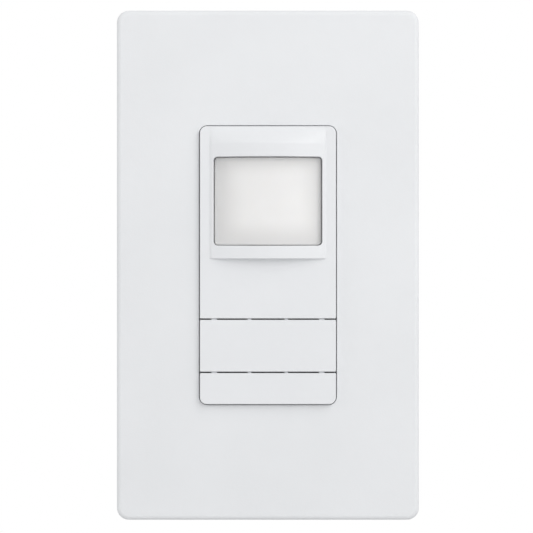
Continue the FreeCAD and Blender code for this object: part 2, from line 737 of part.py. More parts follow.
def lens_retainer():
    """Frame between the lens and the strap, bowed in front to fit the lens."""
    outer = bowed(LENS_R - LENS_T, STRAP_FRONT, LENS_W, LENS_H)
    hole_w = LENS_W - 2 * RETAINER_FRAME_W
    hole_h = LENS_H - 2 * RETAINER_FRAME_W
    front = FACE_FRONT - HOOD_RISE
    return outer.cut(centred(hole_w, front, STRAP_FRONT + PAST, hole_h, z=APERTURE_Z))


def nubs(top):
    """Small pips on a bar's upper edge, set back in the seam."""
    y0 = FACE_FRONT + NUB_SETBACK
    places = [(WIDE_NUB_X, WIDE_NUB_W), (SMALL_NUB_X, SMALL_NUB_W)]
    pips = []
    for x, w in places:
        for sx in BOTH:
            low = top - BAR_WALL / 2
            pips.append(block(sx * x - w / 2, sx * x + w / 2, y0, y0 + NUB_D, low, top + NUB_RISE))
    return pips


def bar_guide(sx, z):
    """Post that slides through the carrier floor, hooked behind it."""
    hook_y = FLOOR_BACK + HOOK_SLACK
    x = sx * GUIDE_X
    post = centred(GUIDE_W, BAR_INNER, hook_y + HOOK_T, GUIDE_T, x, z)
    hook_x = x + sx * HOOK_REACH / 2
    return post.fuse(centred(GUIDE_W + HOOK_REACH, hook_y, hook_y + HOOK_T, GUIDE_T, hook_x, z))


def push_bar(top, bottom, bottom_r, works_z):
    """Hollow cap with its guides, pusher, spring seats and pips."""
    h = top - bottom
    mid = (top + bottom) / 2
    cap = slab(INSERT_W, h, FACE_FRONT, SKIRT_BACK, SEAM_CORNER, bottom_r, mid)
    cap = bevelled(cap, FACE_FRONT, INSERT_EDGE)
    room_w = INSERT_W - 2 * BAR_WALL
    room_h = h - 2 * BAR_WALL
    cap = cap.cut(centred(room_w, BAR_INNER, SKIRT_BACK + PAST, room_h, z=mid))
    parts = nubs(top) + [bar_guide(sx, works_z) for sx in BOTH]
    parts.append(centred(PUSHER_W, BAR_INNER, PLUNGER_FRONT, PUSHER_W, z=works_z))
    seat_back = BAR_INNER + SPRING_SEAT_H
    seat_w = SPRING_SEAT_W
    for sx in BOTH:
        parts.append(centred(seat_w, BAR_INNER, seat_back, seat_w, sx * SPRING_X, works_z))
    return joined(cap, *parts)


def on_off_button():
    """Wide upper push bar."""
    return push_bar(ON_OFF_BAR_TOP, ON_OFF_BAR_BOTTOM, SEAM_CORNER, ON_OFF_Z)


def lower_button():
    """Slim lower push bar, with the insert's round corners."""
    return push_bar(LOWER_BAR_TOP, INSERT_BOTTOM, INSERT_CORNER, LOWER_Z)


def wire_section(centre, outward):
    """Many-sided outline of the spring wire, square to the coil's run."""
    corners = []
    for i in range(SPRING_WIRE_SIDES):
        turn = 2 * math.pi * i / SPRING_WIRE_SIDES
        across = outward * (SPRING_WIRE_R * math.cos(turn))
        corners.append(centre + across + V(0, SPRING_WIRE_R * math.sin(turn), 0))
    return Part.makePolygon(corners + corners[:1])


def springs(z):
    """Two coil springs between a bar and the carrier floor."""
    start = BAR_INNER + SPRING_WIRE_R + SPRING_SLACK
    rise = FLOOR_FRONT - SPRING_WIRE_R - SPRING_SLACK - start
    steps = SPRING_TURNS * SPRING_STEPS
    coils = []
    for sx in BOTH:
        sections = []
        for i in range(steps + 1):
            turn = 2 * math.pi * i / SPRING_STEPS
            outward = V(math.cos(turn), 0, math.sin(turn))
            centre = V(sx * SPRING_X, start + rise * i / steps, z) + outward * SPRING_R
            sections.append(wire_section(centre, outward))
        coils.append(Part.makeLoft(sections, True, True))
    return group(coils)


def tact_switch(z):
    """Push switch body with a bore for its plunger and four bent legs."""
    body = centred(SWITCH_W, SWITCH_FRONT, BOARD_FRONT, SWITCH_W, z=z)
    depth = PLUNGER_INSIDE + BAR_TRAVEL + PLUNGER_SPARE
    bore_w = PLUNGER_W + 2 * PLUNGER_GAP
    bore = centred(bore_w, SWITCH_FRONT - PAST, SWITCH_FRONT + depth, bore_w, z=z)
    body = body.cut(bore)
    reach = SWITCH_W / 2 + SWITCH_LEG_W
    legs = []
    for sz in BOTH:
        leg_z = z + sz * (SWITCH_W / 2 - SWITCH_LEG_W)
        legs.append(centred(2 * reach, BOARD_FRONT - SWITCH_LEG_T, BOARD_FRONT, SWITCH_LEG_W, z=leg_z))
    return joined(body, *legs)


def plunger(z):
    """Stem of a push switch, pressed by the bar's pusher."""
    return centred(PLUNGER_W, PLUNGER_FRONT, SWITCH_FRONT + PLUNGER_INSIDE, PLUNGER_W, z=z)


def notched_board(y0, y1, gap):
    """Board or sheet with its corners cut back round the housing's columns."""
    board = slab(BOARD_W, BOARD_H, y0, y1, BOARD_CORNER)
    reach = COLUMN_W / 2 + gap
    for sx, sz in CORNERS:
        x0 = BOSS_X - reach
        z0 = BOSS_Z - reach
        notch = block(x0, BOARD_W / 2 + PAST, y0 - PAST, y1 + PAST, z0, BOARD_H / 2 + PAST)
        if sx < 0:
            notch = mirrored(notch)
        if sz < 0:
            notch = notch.mirror(V(0, 0, 0), V(0, 0, 1))
        board = board.cut(notch)
    return board


def sensor_board():
    """Board behind the strap, on the housing's ledges."""
    return notched_board(BOARD_FRONT, BOARD_BACK, COLUMN_GAP)


def pyro_sensor():
    """Metal can of the heat sensor, open at its window."""
    front = BOARD_FRONT - PYRO_H
    profile = [(0, front), (PYRO_R - PYRO_WALL, front), (PYRO_R, front + PYRO_WALL)]
    profile += [(PYRO_R, BOARD_FRONT - PYRO_RIM_T), (PYRO_RIM_R, BOARD_FRONT - PYRO_RIM_T)]
    profile += [(PYRO_RIM_R, BOARD_FRONT), (0, BOARD_FRONT)]
    can = turned(profile, z=APERTURE_Z)
    return can.cut(centred(PYRO_WINDOW_W, front - PAST, front + PYRO_WALL, PYRO_WINDOW_H, z=APERTURE_Z))


def pyro_window():
    """Filter set in the can, flush with its top."""
    front = BOARD_FRONT - PYRO_H
    gap = 2 * SCREW_CLEARANCE
    w = PYRO_WINDOW_W - gap
    return centred(w, front, front + PYRO_WALL, PYRO_WINDOW_H - gap, z=APERTURE_Z)


def status_led():
    """Square lamp beside the heat sensor."""
    front = BOARD_FRONT - LED_D
    body = centred(LED_W, front, BOARD_FRONT, LED_H, -LED_X, APERTURE_Z - LED_DROP)
    return bevelled(body, front, MOULDED_EDGE)


def light_sensor():
    """Small daylight sensor on the other side."""
    front = BOARD_FRONT - LIGHT_SENSOR_D
    z = APERTURE_Z - LED_DROP
    return centred(LIGHT_SENSOR_W, front, BOARD_FRONT, LIGHT_SENSOR_H, LED_X, z)


def controller_chip():
    """Chip with flat legs on two sides, behind the sensor board."""
    body = centred(CHIP_W, BOARD_BACK, BOARD_BACK + CHIP_D, CHIP_W, CHIP_X, CHIP_Z)
    pitch = CHIP_W / CHIP_LEG_COUNT
    back = BOARD_BACK + SWITCH_LEG_T
    reach = CHIP_W + 2 * CHIP_LEG
    places = spaced(CHIP_LEG_COUNT, pitch)
    legs = [centred(reach, BOARD_BACK, back, pitch / 2, CHIP_X, CHIP_Z + z) for z in places]
    return joined(body, *legs)


def board_header():
    """Pin strip on the sensor board that reaches into the socket."""
    body = centred(PIN_COUNT * PIN_PITCH, BOARD_BACK, BOARD_BACK + HEADER_D, PIN_PITCH)
    end = POWER_FRONT - SOCKET_D + PIN_INTO_SOCKET
    pins = [centred(PIN_W, BOARD_BACK, end, PIN_W, x) for x in spaced(PIN_COUNT, PIN_PITCH)]
    return joined(body, *pins)


def board_socket():
    """Socket on the power board."""
    front = POWER_FRONT - SOCKET_D
    body = centred(PIN_COUNT * PIN_PITCH, front, POWER_FRONT, SOCKET_W)
    hole = PIN_W + 2 * PIN_GAP
    for x in spaced(PIN_COUNT, PIN_PITCH):
        body = body.cut(centred(hole, front - PAST, front + PIN_INTO_SOCKET + PIN_GAP, hole, x))
    return body


def insulator_sheet():
    """Sheet between the sensor board and the live parts."""
    sheet = notched_board(SHEET_FRONT, SHEET_BACK, COLUMN_GAP)
    hole_w = PIN_COUNT * PIN_PITCH + SHEET_HOLE_GAP
    hole_h = PIN_PITCH + SHEET_HOLE_GAP
    return sheet.cut(centred(hole_w, SHEET_FRONT - PAST, SHEET_BACK + PAST, hole_h))


def power_board():
    """Rear board, held on four pins."""
    board = notched_board(POWER_FRONT, POWER_BACK, COLUMN_GAP)
    for sx, sz in CORNERS:
        hole_w = STANDOFF_PIN_W + 2 * SCREW_CLEARANCE
        x = sx * STANDOFF_X
        z = sz * STANDOFF_Z
        board = board.cut(centred(hole_w, POWER_FRONT - PAST, POWER_BACK + PAST, hole_w, x, z))
    return board


def on_power_board(left, z, w, d, h):
    """Box-shaped part standing on the power board, with bevelled front edges."""
    front = POWER_FRONT - d
    body = block(left, left + w, front, POWER_FRONT, z - h / 2, z + h / 2)
    return bevelled(body, front, MOULDED_EDGE)


def relay():
    """Sealed relay that switches the load."""
    return on_power_board(RELAY_LEFT, RELAY_Z, RELAY_W, RELAY_D, RELAY_H)


def film_capacitor():
    """Moulded film capacitor."""
    return on_power_board(FILM_CAPACITOR_LEFT, FILM_CAPACITOR_Z,
                          FILM_CAPACITOR_W, FILM_CAPACITOR_D, FILM_CAPACITOR_H)


def transformer():
    """Bobbin with two flanges and its winding between them."""
    x = TRANSFORMER_X
    z = TRANSFORMER_Z
    w = TRANSFORMER_W
    h = TRANSFORMER_H
    front = POWER_FRONT - TRANSFORMER_D
    flange = TRANSFORMER_FLANGE
    cut = 2 * TRANSFORMER_WINDING
    core = centred(w - cut, front, POWER_FRONT, h - cut, x, z)
    near = centred(w, front, front + flange, h, x, z)
    far = centred(w, POWER_FRONT - flange, POWER_FRONT, h, x, z)
    return joined(core, near, far)


def bulk_capacitor():
    """Electrolytic can."""
    front = POWER_FRONT - BULK_CAPACITOR_H
    can = rod(BULK_CAPACITOR_R, front, POWER_FRONT, BULK_CAPACITOR_X, BULK_CAPACITOR_Z)
    return bevelled(can, front, MOULDED_EDGE)


def leads(x, z, y):
    """Two wire leads from the power board up to depth y."""
    half = LEAD_SPREAD / 2
    return [centred(LEAD_W, y, POWER_FRONT, LEAD_W, x, z + sz * half) for sz in BOTH]


def surge_varistor():
    """Coated disc standing on its two leads."""
    centre = POWER_FRONT - LEAD_L - VARISTOR_R
    left = VARISTOR_X - VARISTOR_T / 2
    disc = cross_rod(VARISTOR_R, left, left + VARISTOR_T, centre, END_ROW_Z)
    return joined(disc, *leads(VARISTOR_X, END_ROW_Z, centre))


def fuse():
    """Cartridge fuse lying on its two leads."""
    y = POWER_FRONT - LEAD_L - FUSE_CAP_R
    low = END_ROW_Z - FUSE_L / 2
    tube = Part.makeCylinder(FUSE_R, FUSE_L, V(FUSE_X, y, low), V(0, 0, 1))
    caps = []
    for start in (low, low + FUSE_L - FUSE_CAP_L):
        caps.append(Part.makeCylinder(FUSE_CAP_R, FUSE_CAP_L, V(FUSE_X, y, start), V(0, 0, 1)))
    return joined(tube, *caps, *leads(FUSE_X, END_ROW_Z, y))


def terminal(sx, z):
    """Folded brass: screw plate in the pocket, tongue through its floor and leg to the board."""
    outer = HOUSING_W / 2 - POCKET_D
    y0 = POCKET_FRONT + TERMINAL_GAP
    y1 = POCKET_BACK - TERMINAL_GAP
    half = POCKET_W / 2 - TERMINAL_GAP
    plate = block(outer, outer + TERMINAL_T, y0, y1, z - half, z + half)
    tongue_y = POCKET_BACK - TONGUE_SETBACK - TERMINAL_T
    low = z - TONGUE_W / 2
    high = z + TONGUE_W / 2
    tongue = block(LEG_X, outer, tongue_y, tongue_y + TERMINAL_T, low, high)
    leg = block(LEG_X, LEG_X + TERMINAL_T, tongue_y, POWER_FRONT, low, high)
    shape = joined(plate, tongue, leg)
    hole_r = TERMINAL_SCREW_R + SCREW_CLEARANCE
    hole = cross_rod(hole_r, outer - PAST / 2, outer + TERMINAL_T + PAST, POCKET_MID, z)
    shape = shape.cut(hole)
    return shape if sx > 0 else mirrored(shape)


def binding_screw(start_x, y, z, reach):
    """Screw along X with its head on start_x, facing outwards."""
    head = cross_rod(TERMINAL_HEAD_R, start_x, start_x + TERMINAL_HEAD_T, y, z)
    shank = cross_rod(TERMINAL_SCREW_R, start_x - reach, start_x, y, z)
    top = start_x + TERMINAL_HEAD_T
    half = TERMINAL_HEAD_R + PAST
    slot_z = DRIVE_SLOT_W / 2
    slot = block(top - DRIVE_SLOT_D, top + PAST, y - half, y + half, z - slot_z, z + slot_z)
    return joined(head, shank).cut(slot)


def terminal_screw(sx, z):
    """Binding screw of one side terminal."""
    start = HOUSING_W / 2 - POCKET_D + TERMINAL_T
    screw = binding_screw(start, POCKET_MID, z, TERMINAL_T + TERMINAL_SCREW_END)
    return screw if sx > 0 else mirrored(screw)


def terminal_screws():
    """The three binding screws of the side terminals."""
    return group([terminal_screw(sx, z) for sx, z in TERMINALS.values()])


def ground_screw():
    """Screw in the strap's ground lug."""
    start = STRAP_END_W / 2
    screw = binding_screw(start, GROUND_TAB_D / 2, -GROUND_Z, STRAP_T + GROUND_SCREW_REACH)
    return mirrored(screw)


def terminal_pocket(sx, z):
    """Walls round one terminal pocket, and the cutter that opens it."""
    side = HOUSING_W / 2
    floor = side - POCKET_D
    inner = floor - POCKET_WALL
    half = POCKET_W / 2
    wall_half = half + POCKET_WALL
    walls = block(inner, side - HOUSING_WALL / 2, POCKET_FRONT - POCKET_WALL,
                  POCKET_BACK + POCKET_WALL, z - wall_half, z + wall_half)
    cutter = block(floor, side + PAST, POCKET_FRONT, POCKET_BACK, z - half, z + half)
    recess = TERMINAL_SCREW_R + HOLE_CLEARANCE
    near = POCKET_MID - recess
    far = POCKET_MID + recess
    cutter = cutter.fuse(block(inner - PAST, side, near, far, z - recess, z + recess))
    tongue_y = POCKET_BACK - TONGUE_SETBACK
    gap = GUIDE_GAP
    half_tongue = TONGUE_W / 2 + gap
    slot = block(inner - PAST, side, tongue_y - TERMINAL_T - gap, tongue_y + gap,
                 z - half_tongue, z + half_tongue)
    cutter = cutter.fuse(slot)
    if sx > 0:
        return walls, cutter
    return mirrored(walls), mirrored(cutter)


def housing_column(sx, sz):
    """Corner column of the housing, with the hole for its case screw."""
    x = sx * BOSS_X
    z = sz * BOSS_Z
    column_h = HOUSING_H / 2 - HOUSING_WALL / 2 - (BOSS_Z - COLUMN_W / 2)
    column_z = sz * (BOSS_Z - COLUMN_W / 2 + column_h / 2)
    column = centred(COLUMN_W, 0, HOUSING_D - HOUSING_WALL / 2, column_h, x, column_z)
    return column, rod(CASE_SCREW_R + HOLE_CLEARANCE, -PAST, HOUSING_D + PAST, x, z)


def rear_housing():
    """Moulded box behind the strap, with columns, ledges, board pins and terminal pockets."""
    shell = slab(HOUSING_W, HOUSING_H, 0, HOUSING_D, HOUSING_CORNER)
    shell = bevelled(shell, HOUSING_D, HOUSING_EDGE)
    room_w = HOUSING_W - 2 * HOUSING_WALL
    room_h = HOUSING_H - 2 * HOUSING_WALL
    shell = shell.cut(slab(room_w, room_h, -PAST, HOUSING_INNER, HOUSING_CORNER - HOUSING_WALL))
    added = []
    cutters = []
    for sx, sz in CORNERS:
        column, bore = housing_column(sx, sz)
        added.append(column)
        cutters.append(bore)
        x = sx * STANDOFF_X
        z = sz * STANDOFF_Z
        post_back = HOUSING_INNER + HOUSING_WALL / 2
        pin_front = POWER_FRONT - STANDOFF_PIN_OUT
        added.append(centred(STANDOFF_W, POWER_BACK, post_back, STANDOFF_W, x, z))
        added.append(centred(STANDOFF_PIN_W, pin_front, POWER_BACK, STANDOFF_PIN_W, x, z))
        ledge_x = room_w / 2 - LEDGE_W / 2
        added.append(centred(LEDGE_W, BOARD_BACK, SHEET_FRONT, LEDGE_L, sx * ledge_x, sz * LEDGE_Z))
    for sx, z in TERMINALS.values():
        walls, cutter = terminal_pocket(sx, z)
        added.append(walls)
        cutters.append(cutter)
    shell = joined(shell, *added)
    for cutter in cutters:
        shell = shell.cut(cutter)
    return shell


# Side of the housing and height of each terminal
TERMINALS = {
    "line_terminal": (-1, POCKET_Z),
    "load_terminal": (-1, -POCKET_Z),
    "neutral_terminal": (1, 0.0),
}

NODES = {
    "wall_plate": wall_plate,
    "sub_plate": sub_plate,
    "plate_screws": plate_screws,
    "mounting_strap": mounting_strap,
    "box_screws": box_screws,
    "screw_retainers": screw_retainers,
    "ground_screw": ground_screw,
    "case_screws": case_screws,
    "bezel": bezel,
    "lens": lens,
    "lens_retainer": lens_retainer,
    "on_off_button": on_off_button,
    "lower_button": lower_button,
    "on_off_springs": lambda: springs(ON_OFF_Z),
    "lower_springs": lambda: springs(LOWER_Z),
    "on_off_switch": lambda: tact_switch(ON_OFF_Z),
    "lower_switch": lambda: tact_switch(LOWER_Z),
    "on_off_plunger": lambda: plunger(ON_OFF_Z),
    "lower_plunger": lambda: plunger(LOWER_Z),
    "sensor_board": sensor_board,
    "pyro_sensor": pyro_sensor,
    "pyro_window": pyro_window,
    "status_led": status_led,
    "light_sensor": light_sensor,
    "controller_chip": controller_chip,
    "board_header": board_header,
    "board_socket": board_socket,
    "insulator_sheet": insulator_sheet,
    "power_board": power_board,
    "relay": relay,
    "film_capacitor": film_capacitor,
    "transformer": transformer,
    "bulk_capacitor": bulk_capacitor,
    "surge_varistor": surge_varistor,
    "fuse": fuse,
    "terminal_screws": terminal_screws,
    "rear_housing": rear_housing,
}

os.makedirs("parts", exist_ok=True)
for name, make in NODES.items():
    make().exportStep("parts/" + name + ".step")
for name, (side, height) in TERMINALS.items():
    terminal(side, height).exportStep("parts/" + name + ".step")
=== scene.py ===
import json
import math

import bmesh
import bpy
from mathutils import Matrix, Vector


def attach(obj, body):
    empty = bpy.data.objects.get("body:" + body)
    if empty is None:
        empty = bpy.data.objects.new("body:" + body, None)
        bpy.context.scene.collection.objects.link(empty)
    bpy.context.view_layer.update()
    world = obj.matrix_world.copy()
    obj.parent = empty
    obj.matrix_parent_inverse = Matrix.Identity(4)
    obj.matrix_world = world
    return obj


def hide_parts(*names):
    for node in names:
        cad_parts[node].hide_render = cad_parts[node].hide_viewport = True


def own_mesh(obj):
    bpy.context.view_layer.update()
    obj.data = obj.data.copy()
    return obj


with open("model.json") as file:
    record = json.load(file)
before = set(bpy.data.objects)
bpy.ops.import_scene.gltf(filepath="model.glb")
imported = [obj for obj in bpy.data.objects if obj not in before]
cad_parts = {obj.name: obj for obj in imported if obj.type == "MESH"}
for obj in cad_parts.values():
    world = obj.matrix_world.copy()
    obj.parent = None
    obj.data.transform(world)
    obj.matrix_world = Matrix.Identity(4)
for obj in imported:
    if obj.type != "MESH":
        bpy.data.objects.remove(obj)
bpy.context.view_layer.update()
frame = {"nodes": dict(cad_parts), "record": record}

# Occupancy sensor wall switch: materials, rounded visible pieces, light and camera.
# Sizes are in millimetres, as in the CAD source, and become metres in each mesh.
# Y runs into the wall, so the front of a piece has the smaller Y.
MM = 0.001

# Steps of the round forms
CORNER_STEPS = 10
EDGE_STEPS = 5
BOW_STEPS = 48
BLEND_STEPS = 6
SCOOP_STEPS = 24
ROD_SIDES = 48

# How far joined pieces run into each other, and cutters past what they cut
OVERLAP = 0.3
BEYOND = 1.0
LEAST_R = 0.02

# Points closer than this are one point, and edges shorter than this are none, in metres
SAME_POINT = 1e-7
NO_EDGE = 1e-8

# Planes that several pieces share, front to back
FACE_FRONT = -8.0
FACE_BACK = -6.4
FLOOR_FRONT = -4.1
SUB_FRONT = -3.2
FLOOR_BACK = -2.5
STRAP_FRONT = -1.2

# Wall plate
PLATE_W = 72.6
PLATE_H = 122.4
PLATE_FRONT = -6.4
PLATE_INNER = -4.4
PLATE_CORNER = 2.9
PLATE_EDGE = 1.0
PLATE_FLAT_IN = 0.05
PLATE_WALL = 2.0
PLATE_INNER_CORNER = 1.2
OPENING_W = 33.08
OPENING_H = 67.16
OPENING_CORNER = 2.0
OPENING_EDGE = 0.15
PLATE_RIB_X = 25.0
PLATE_RIB_T = 1.2
PLATE_RIB_L = 100.0
PLATE_RIB_ROOT = 0.5
CATCH_Z = 36.0
CATCH_L = 9.0
CATCH_BITE = 0.9
CATCH_GAP = 0.05
CATCH_ROOT = 1.0
NOTCH_W = 8.0
NOTCH_H = 6.0
NOTCH_DEPTH = 1.2

# Insert: sensor face, seams and the two bars
INSERT_W = 32.64
INSERT_H = 66.72
INSERT_TOP = INSERT_H / 2
INSERT_BOTTOM = -INSERT_H / 2
INSERT_CORNER = 1.7
INSERT_EDGE = 0.22
SEAM = 0.33
SEAM_CORNER = 0.3
BEZEL_WALL = 1.3
ROOM_W = INSERT_W - 2 * BEZEL_WALL
ROOM_H = INSERT_H - 2 * BEZEL_WALL
LOWER_H = 7.48
ON_OFF_H = 12.44
LOWER_TOP = INSERT_BOTTOM + LOWER_H
ON_OFF_BOTTOM = LOWER_TOP + SEAM
ON_OFF_TOP = ON_OFF_BOTTOM + ON_OFF_H
FACE_BOTTOM = ON_OFF_TOP + SEAM
ON_OFF_Z = (ON_OFF_TOP + ON_OFF_BOTTOM) / 2
LOWER_WORKS_FROM_END = 2.65
LOWER_Z = -ROOM_H / 2 + LOWER_WORKS_FROM_END
BOSS_X = 13.2
BOSS_FROM_END = 1.9
BOSS_Z = ROOM_H / 2 - BOSS_FROM_END
BOSS_R = 2.2
BOSS_HOLE_R = 1.25
BOSS_HOLE_DEPTH = 2.5

# Works of a bar: walls, pips, spring seats, hooked guides and pusher
SKIRT_BACK = -5.2
BAR_WALL = 1.2
PIPS = ((12.9, 1.3), (4.43, 0.85))
PIP_SETBACK = 0.5
PIP_T = 1.0
PIP_IN = 0.6
PIP_OUT = 0.28
SEAT_W = 1.6
SEAT_H = 0.5
GUIDE_X = 5.5
GUIDE_W = 2.4
GUIDE_H = 1.4
GUIDE_HOLE_ROOM = 0.3
HOOK_W = 3.0
HOOK_H = 1.38
HOOK_T = 1.0
HOOK_GAP = 0.05
HOOK_SHIFT = 0.3
PUSHER_W = 3.0
PUSHER_BACK = -3.3
PUSHER_HOLE_W = 3.5

# Springs
SPRING_X = 9.4
WIRE_R = 0.15
COIL_R = 1.5
COIL_TURNS = 3
COIL_GAP = 0.03
TURN_STEPS = 28
WIRE_SIDES = 8

# Hood with its aperture and scoop
APERTURE_W = 26.1
APERTURE_H = 21.0
APERTURE_FROM_TOP = 7.5
APERTURE_Z = INSERT_TOP - APERTURE_FROM_TOP - APERTURE_H / 2
APERTURE_CORNER = 0.95
APERTURE_SPREAD = math.tan(math.radians(2.0))
APERTURE_ROOM = 0.15
APERTURE_EDGE = 0.1
HOOD_W = 27.9
HOOD_RISE = 2.6
HOOD_SIDE_STEP = 0.3
HOOD_BROW = 3.2
HOOD_CHIN = 3.3
HOOD_TOP = APERTURE_Z + APERTURE_H / 2 + HOOD_BROW
HOOD_LEDGE = APERTURE_Z - APERTURE_H / 2 - HOOD_CHIN
SCOOP_FROM_TOP = 0.2
HOOD_SCOOP = INSERT_TOP - SCOOP_FROM_TOP - HOOD_TOP
HOOD_ROOT = 0.8
HOOD_WALL = 2.6
HOOD_EDGE = 0.22
HOOD_BLEND_OUT = 0.2
HOOD_BLEND_IN = 0.5
HOOD_SINK = 0.02
SCOOP_CREST = 0.15
SCOOP_POWER = 1.7
HOOD_BOW = HOOD_RISE - HOOD_SIDE_STEP
LEAST_BOW = 1e-4
BROW_STRIP = 0.01
HOOD_R = ((HOOD_W / 2) ** 2 + HOOD_BOW ** 2) / (2 * HOOD_BOW)
HOOD_AXIS_Y = FACE_FRONT - HOOD_RISE + HOOD_R

# Where soften_aperture looks for the aperture's front edge
RIM_ANGLE = 50.0
RIM_OFF_FRONT = 0.05
RIM_PAST_APERTURE = 1.2
RIM_FROM_SIDE = 0.4

# Lens
LENS_T = 0.9
LENS_STEP = 0.7
LENS_GAP = 0.2
LENS_SIDE_GAP = 0.3
LENS_FRONT_GAP = 0.15
LENS_LAP = 1.3
LENS_SKIRT_BACK = -1.0
SIGHT_BACK = -2.0
SIGHT_FRONT_BACK = -1.5
SIGHT_NARROWING = 0.2
LENS_GROOVES = 5
GROOVE_PITCH = 4.35
GROOVE_W = 0.5
GROOVE_DEPTH = 0.25
LENS_SEAT_R = HOOD_R - HOOD_WALL
LENS_R = LENS_SEAT_R - LENS_FRONT_GAP
LENS_W = ROOM_W - LENS_SIDE_GAP
LENS_H = APERTURE_H + 2 * LENS_LAP
LENS_FRAME_BACK = HOOD_AXIS_Y - math.sqrt(LENS_SEAT_R ** 2 - (ROOM_W / 2) ** 2) + LENS_T

# Painted shade of the lens at its rim, standing in for the shadow of the aperture's walls: factor of
# its colour, then places as shares of half the window
LENS_PAINTED_SHADE = 0.84
# The painted shade leans to the left and lower rim, as under light from the upper right
PAINTED_SHADE_LEAN = 0.07
PAINTED_SHADE_OUTER = 1.06
PAINTED_SHADE_INNER = 0.45

# Studio, in metres and watts
FLOOR_Z = -0.075
FLOOR_HALF = 3.0
FLOOR_FADE_START = 0.08
FLOOR_FADE_END = 0.15
WORLD_LEVEL = 0.64
LAMPS = (
    ("key", (0.56, -0.53, 0.75), 0.45, 1.65),
    ("front", (0.5, -1.0, 0.45), 0.6, 3.85),
    ("fill", (-1.0, -0.25, 0.1), 0.6, 1.3),
)
CAMERA_AWAY = 0.9
CAMERA_X = -0.00034
CAMERA_Z = -0.00031
VIEW_WIDTH = 0.12803

BOTH = (-1, 1)
CORNERS = [(i, k) for i in BOTH for k in BOTH]


def ring(w, h, r, y, x=0.0, z=0.0, low_r=None):
    """Points of a rounded rectangle across X and Z at depth y."""
    low = r if low_r is None else low_r
    corners = ((1, 1, r), (-1, 1, r), (-1, -1, low), (1, -1, low))
    points = []
    for i, (sx, sz, c) in enumerate(corners):
        for k in range(CORNER_STEPS + 1):
            a = math.radians(90 * (i + k / CORNER_STEPS))
            px = x + sx * (w / 2 - c) + c * math.cos(a)
            pz = z + sz * (h / 2 - c) + c * math.sin(a)
            points.append((px, y, pz))
    return points


def rounded_end(w, h, r, y, edge, low_r=None, z=0.0):
    """Rings from the side to the face at depth y over a round edge."""
    rings = []
    for i in range(EDGE_STEPS + 1):
        a = math.pi / 2 * i / EDGE_STEPS
        inset = edge * (1 - math.cos(a))
        depth = y + edge * (1 - math.sin(a))
        low = None if low_r is None else max(low_r - inset, LEAST_R)
        rings.append(ring(w - 2 * inset, h - 2 * inset, max(r - inset, LEAST_R), depth, 0.0, z, low))
    return rings


def new_object(name, mesh):
    """Object of a mesh, linked to the scene."""
    obj = bpy.data.objects.new(name, mesh)
    bpy.context.scene.collection.objects.link(obj)
    return obj


def from_rings(name, rings, closed=False):
    """Solid from rings of equal length, capped at both ends or closed on itself."""
    bm = bmesh.new()
    rows = [[bm.verts.new(Vector(p) * MM) for p in points] for points in rings]
    pairs = list(zip(rows, rows[1:]))
    if closed:
        pairs.append((rows[-1], rows[0]))
    for lower, upper in pairs:
        count = len(lower)
        for i in range(count):
            j = (i + 1) % count
            bm.faces.new((lower[i], lower[j], upper[j], upper[i]))
    if not closed:
        bm.faces.new(rows[0])
        bm.faces.new(list(reversed(rows[-1])))
    bmesh.ops.recalc_face_normals(bm, faces=bm.faces)
    mesh = bpy.data.meshes.new(name)
    bm.to_mesh(mesh)
    bm.free()
    return new_object(name, mesh)


def block(x0, x1, y0, y1, z0, z1):
    """Box used to add to or cut a piece."""
    w, h = x1 - x0, z1 - z0
    centre = ((x0 + x1) / 2, (z0 + z1) / 2)
    corners = [(-1, -1), (1, -1), (1, 1), (-1, 1)]
    rings = []
    for y in (y0, y1):
        rings.append([(centre[0] + i * w / 2, y, centre[1] + k * h / 2) for i, k in corners])
    return from_rings("block", rings)


def centred(w, y0, y1, h, x=0.0, z=0.0):
    """Box about a centre across X and Z."""
    return block(x - w / 2, x + w / 2, y0, y1, z - h / 2, z + h / 2)


def slab(w, h, y0, y1, r, z=0.0):
    """Plate with round corners."""
    return from_rings("slab", [ring(w, h, r, y, 0.0, z) for y in (y0, y1)])


def rod(radius, y0, y1, x=0.0, z=0.0):
    """Round bar along Y."""
    rings = []
    turns = [2 * math.pi * i / ROD_SIDES for i in range(ROD_SIDES)]
    for y in (y0, y1):
        rings.append([(x + radius * math.cos(a), y, z + radius * math.sin(a)) for a in turns])
    return from_rings("rod", rings)


def carve(base, tools, operation="DIFFERENCE"):
    """Apply exact booleans of several tool objects, which are used up."""
    for tool in tools:
        cut = base.modifiers.new("cut", "BOOLEAN")
        cut.operation = operation
        cut.solver = "EXACT"
        cut.object = tool
        graph = bpy.context.evaluated_depsgraph_get()
        mesh = bpy.data.meshes.new_from_object(base.evaluated_get(graph))
        base.modifiers.clear()
        base.data = mesh
        bpy.data.objects.remove(tool)
    return base


def shade(obj, angle=30.0):
    """Smooth shading with sharp edges kept above the given angle."""
    bm = bmesh.new()
    bm.from_mesh(obj.data)
    bmesh.ops.remove_doubles(bm, verts=bm.verts, dist=SAME_POINT)
    bmesh.ops.dissolve_degenerate(bm, edges=bm.edges, dist=NO_EDGE)
    limit = math.radians(angle)
    for face in bm.faces:
        face.smooth = True
    for edge in bm.edges:
        edge.smooth = len(edge.link_faces) == 2 and edge.calc_face_angle(0.0) < limit
    bm.to_mesh(obj.data)
    bm.free()
    weighted = obj.modifiers.new("weighted", "WEIGHTED_NORMAL")
    weighted.keep_sharp = True
    weighted.weight = 100
    return obj


def finished(obj, name, slot, body, *nodes):
    """Name, material, slot and body of a piece, and the CAD nodes it stands for."""
    for node in nodes:
        frame["nodes"][node].name = "cad_" + node
    obj.name = name
    obj.data.name = name
    obj.data.materials.clear()
    obj.data.materials.append(MATERIALS[slot])
    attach(obj, body)
    if nodes:
        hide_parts(*nodes)
    return obj


# Materials

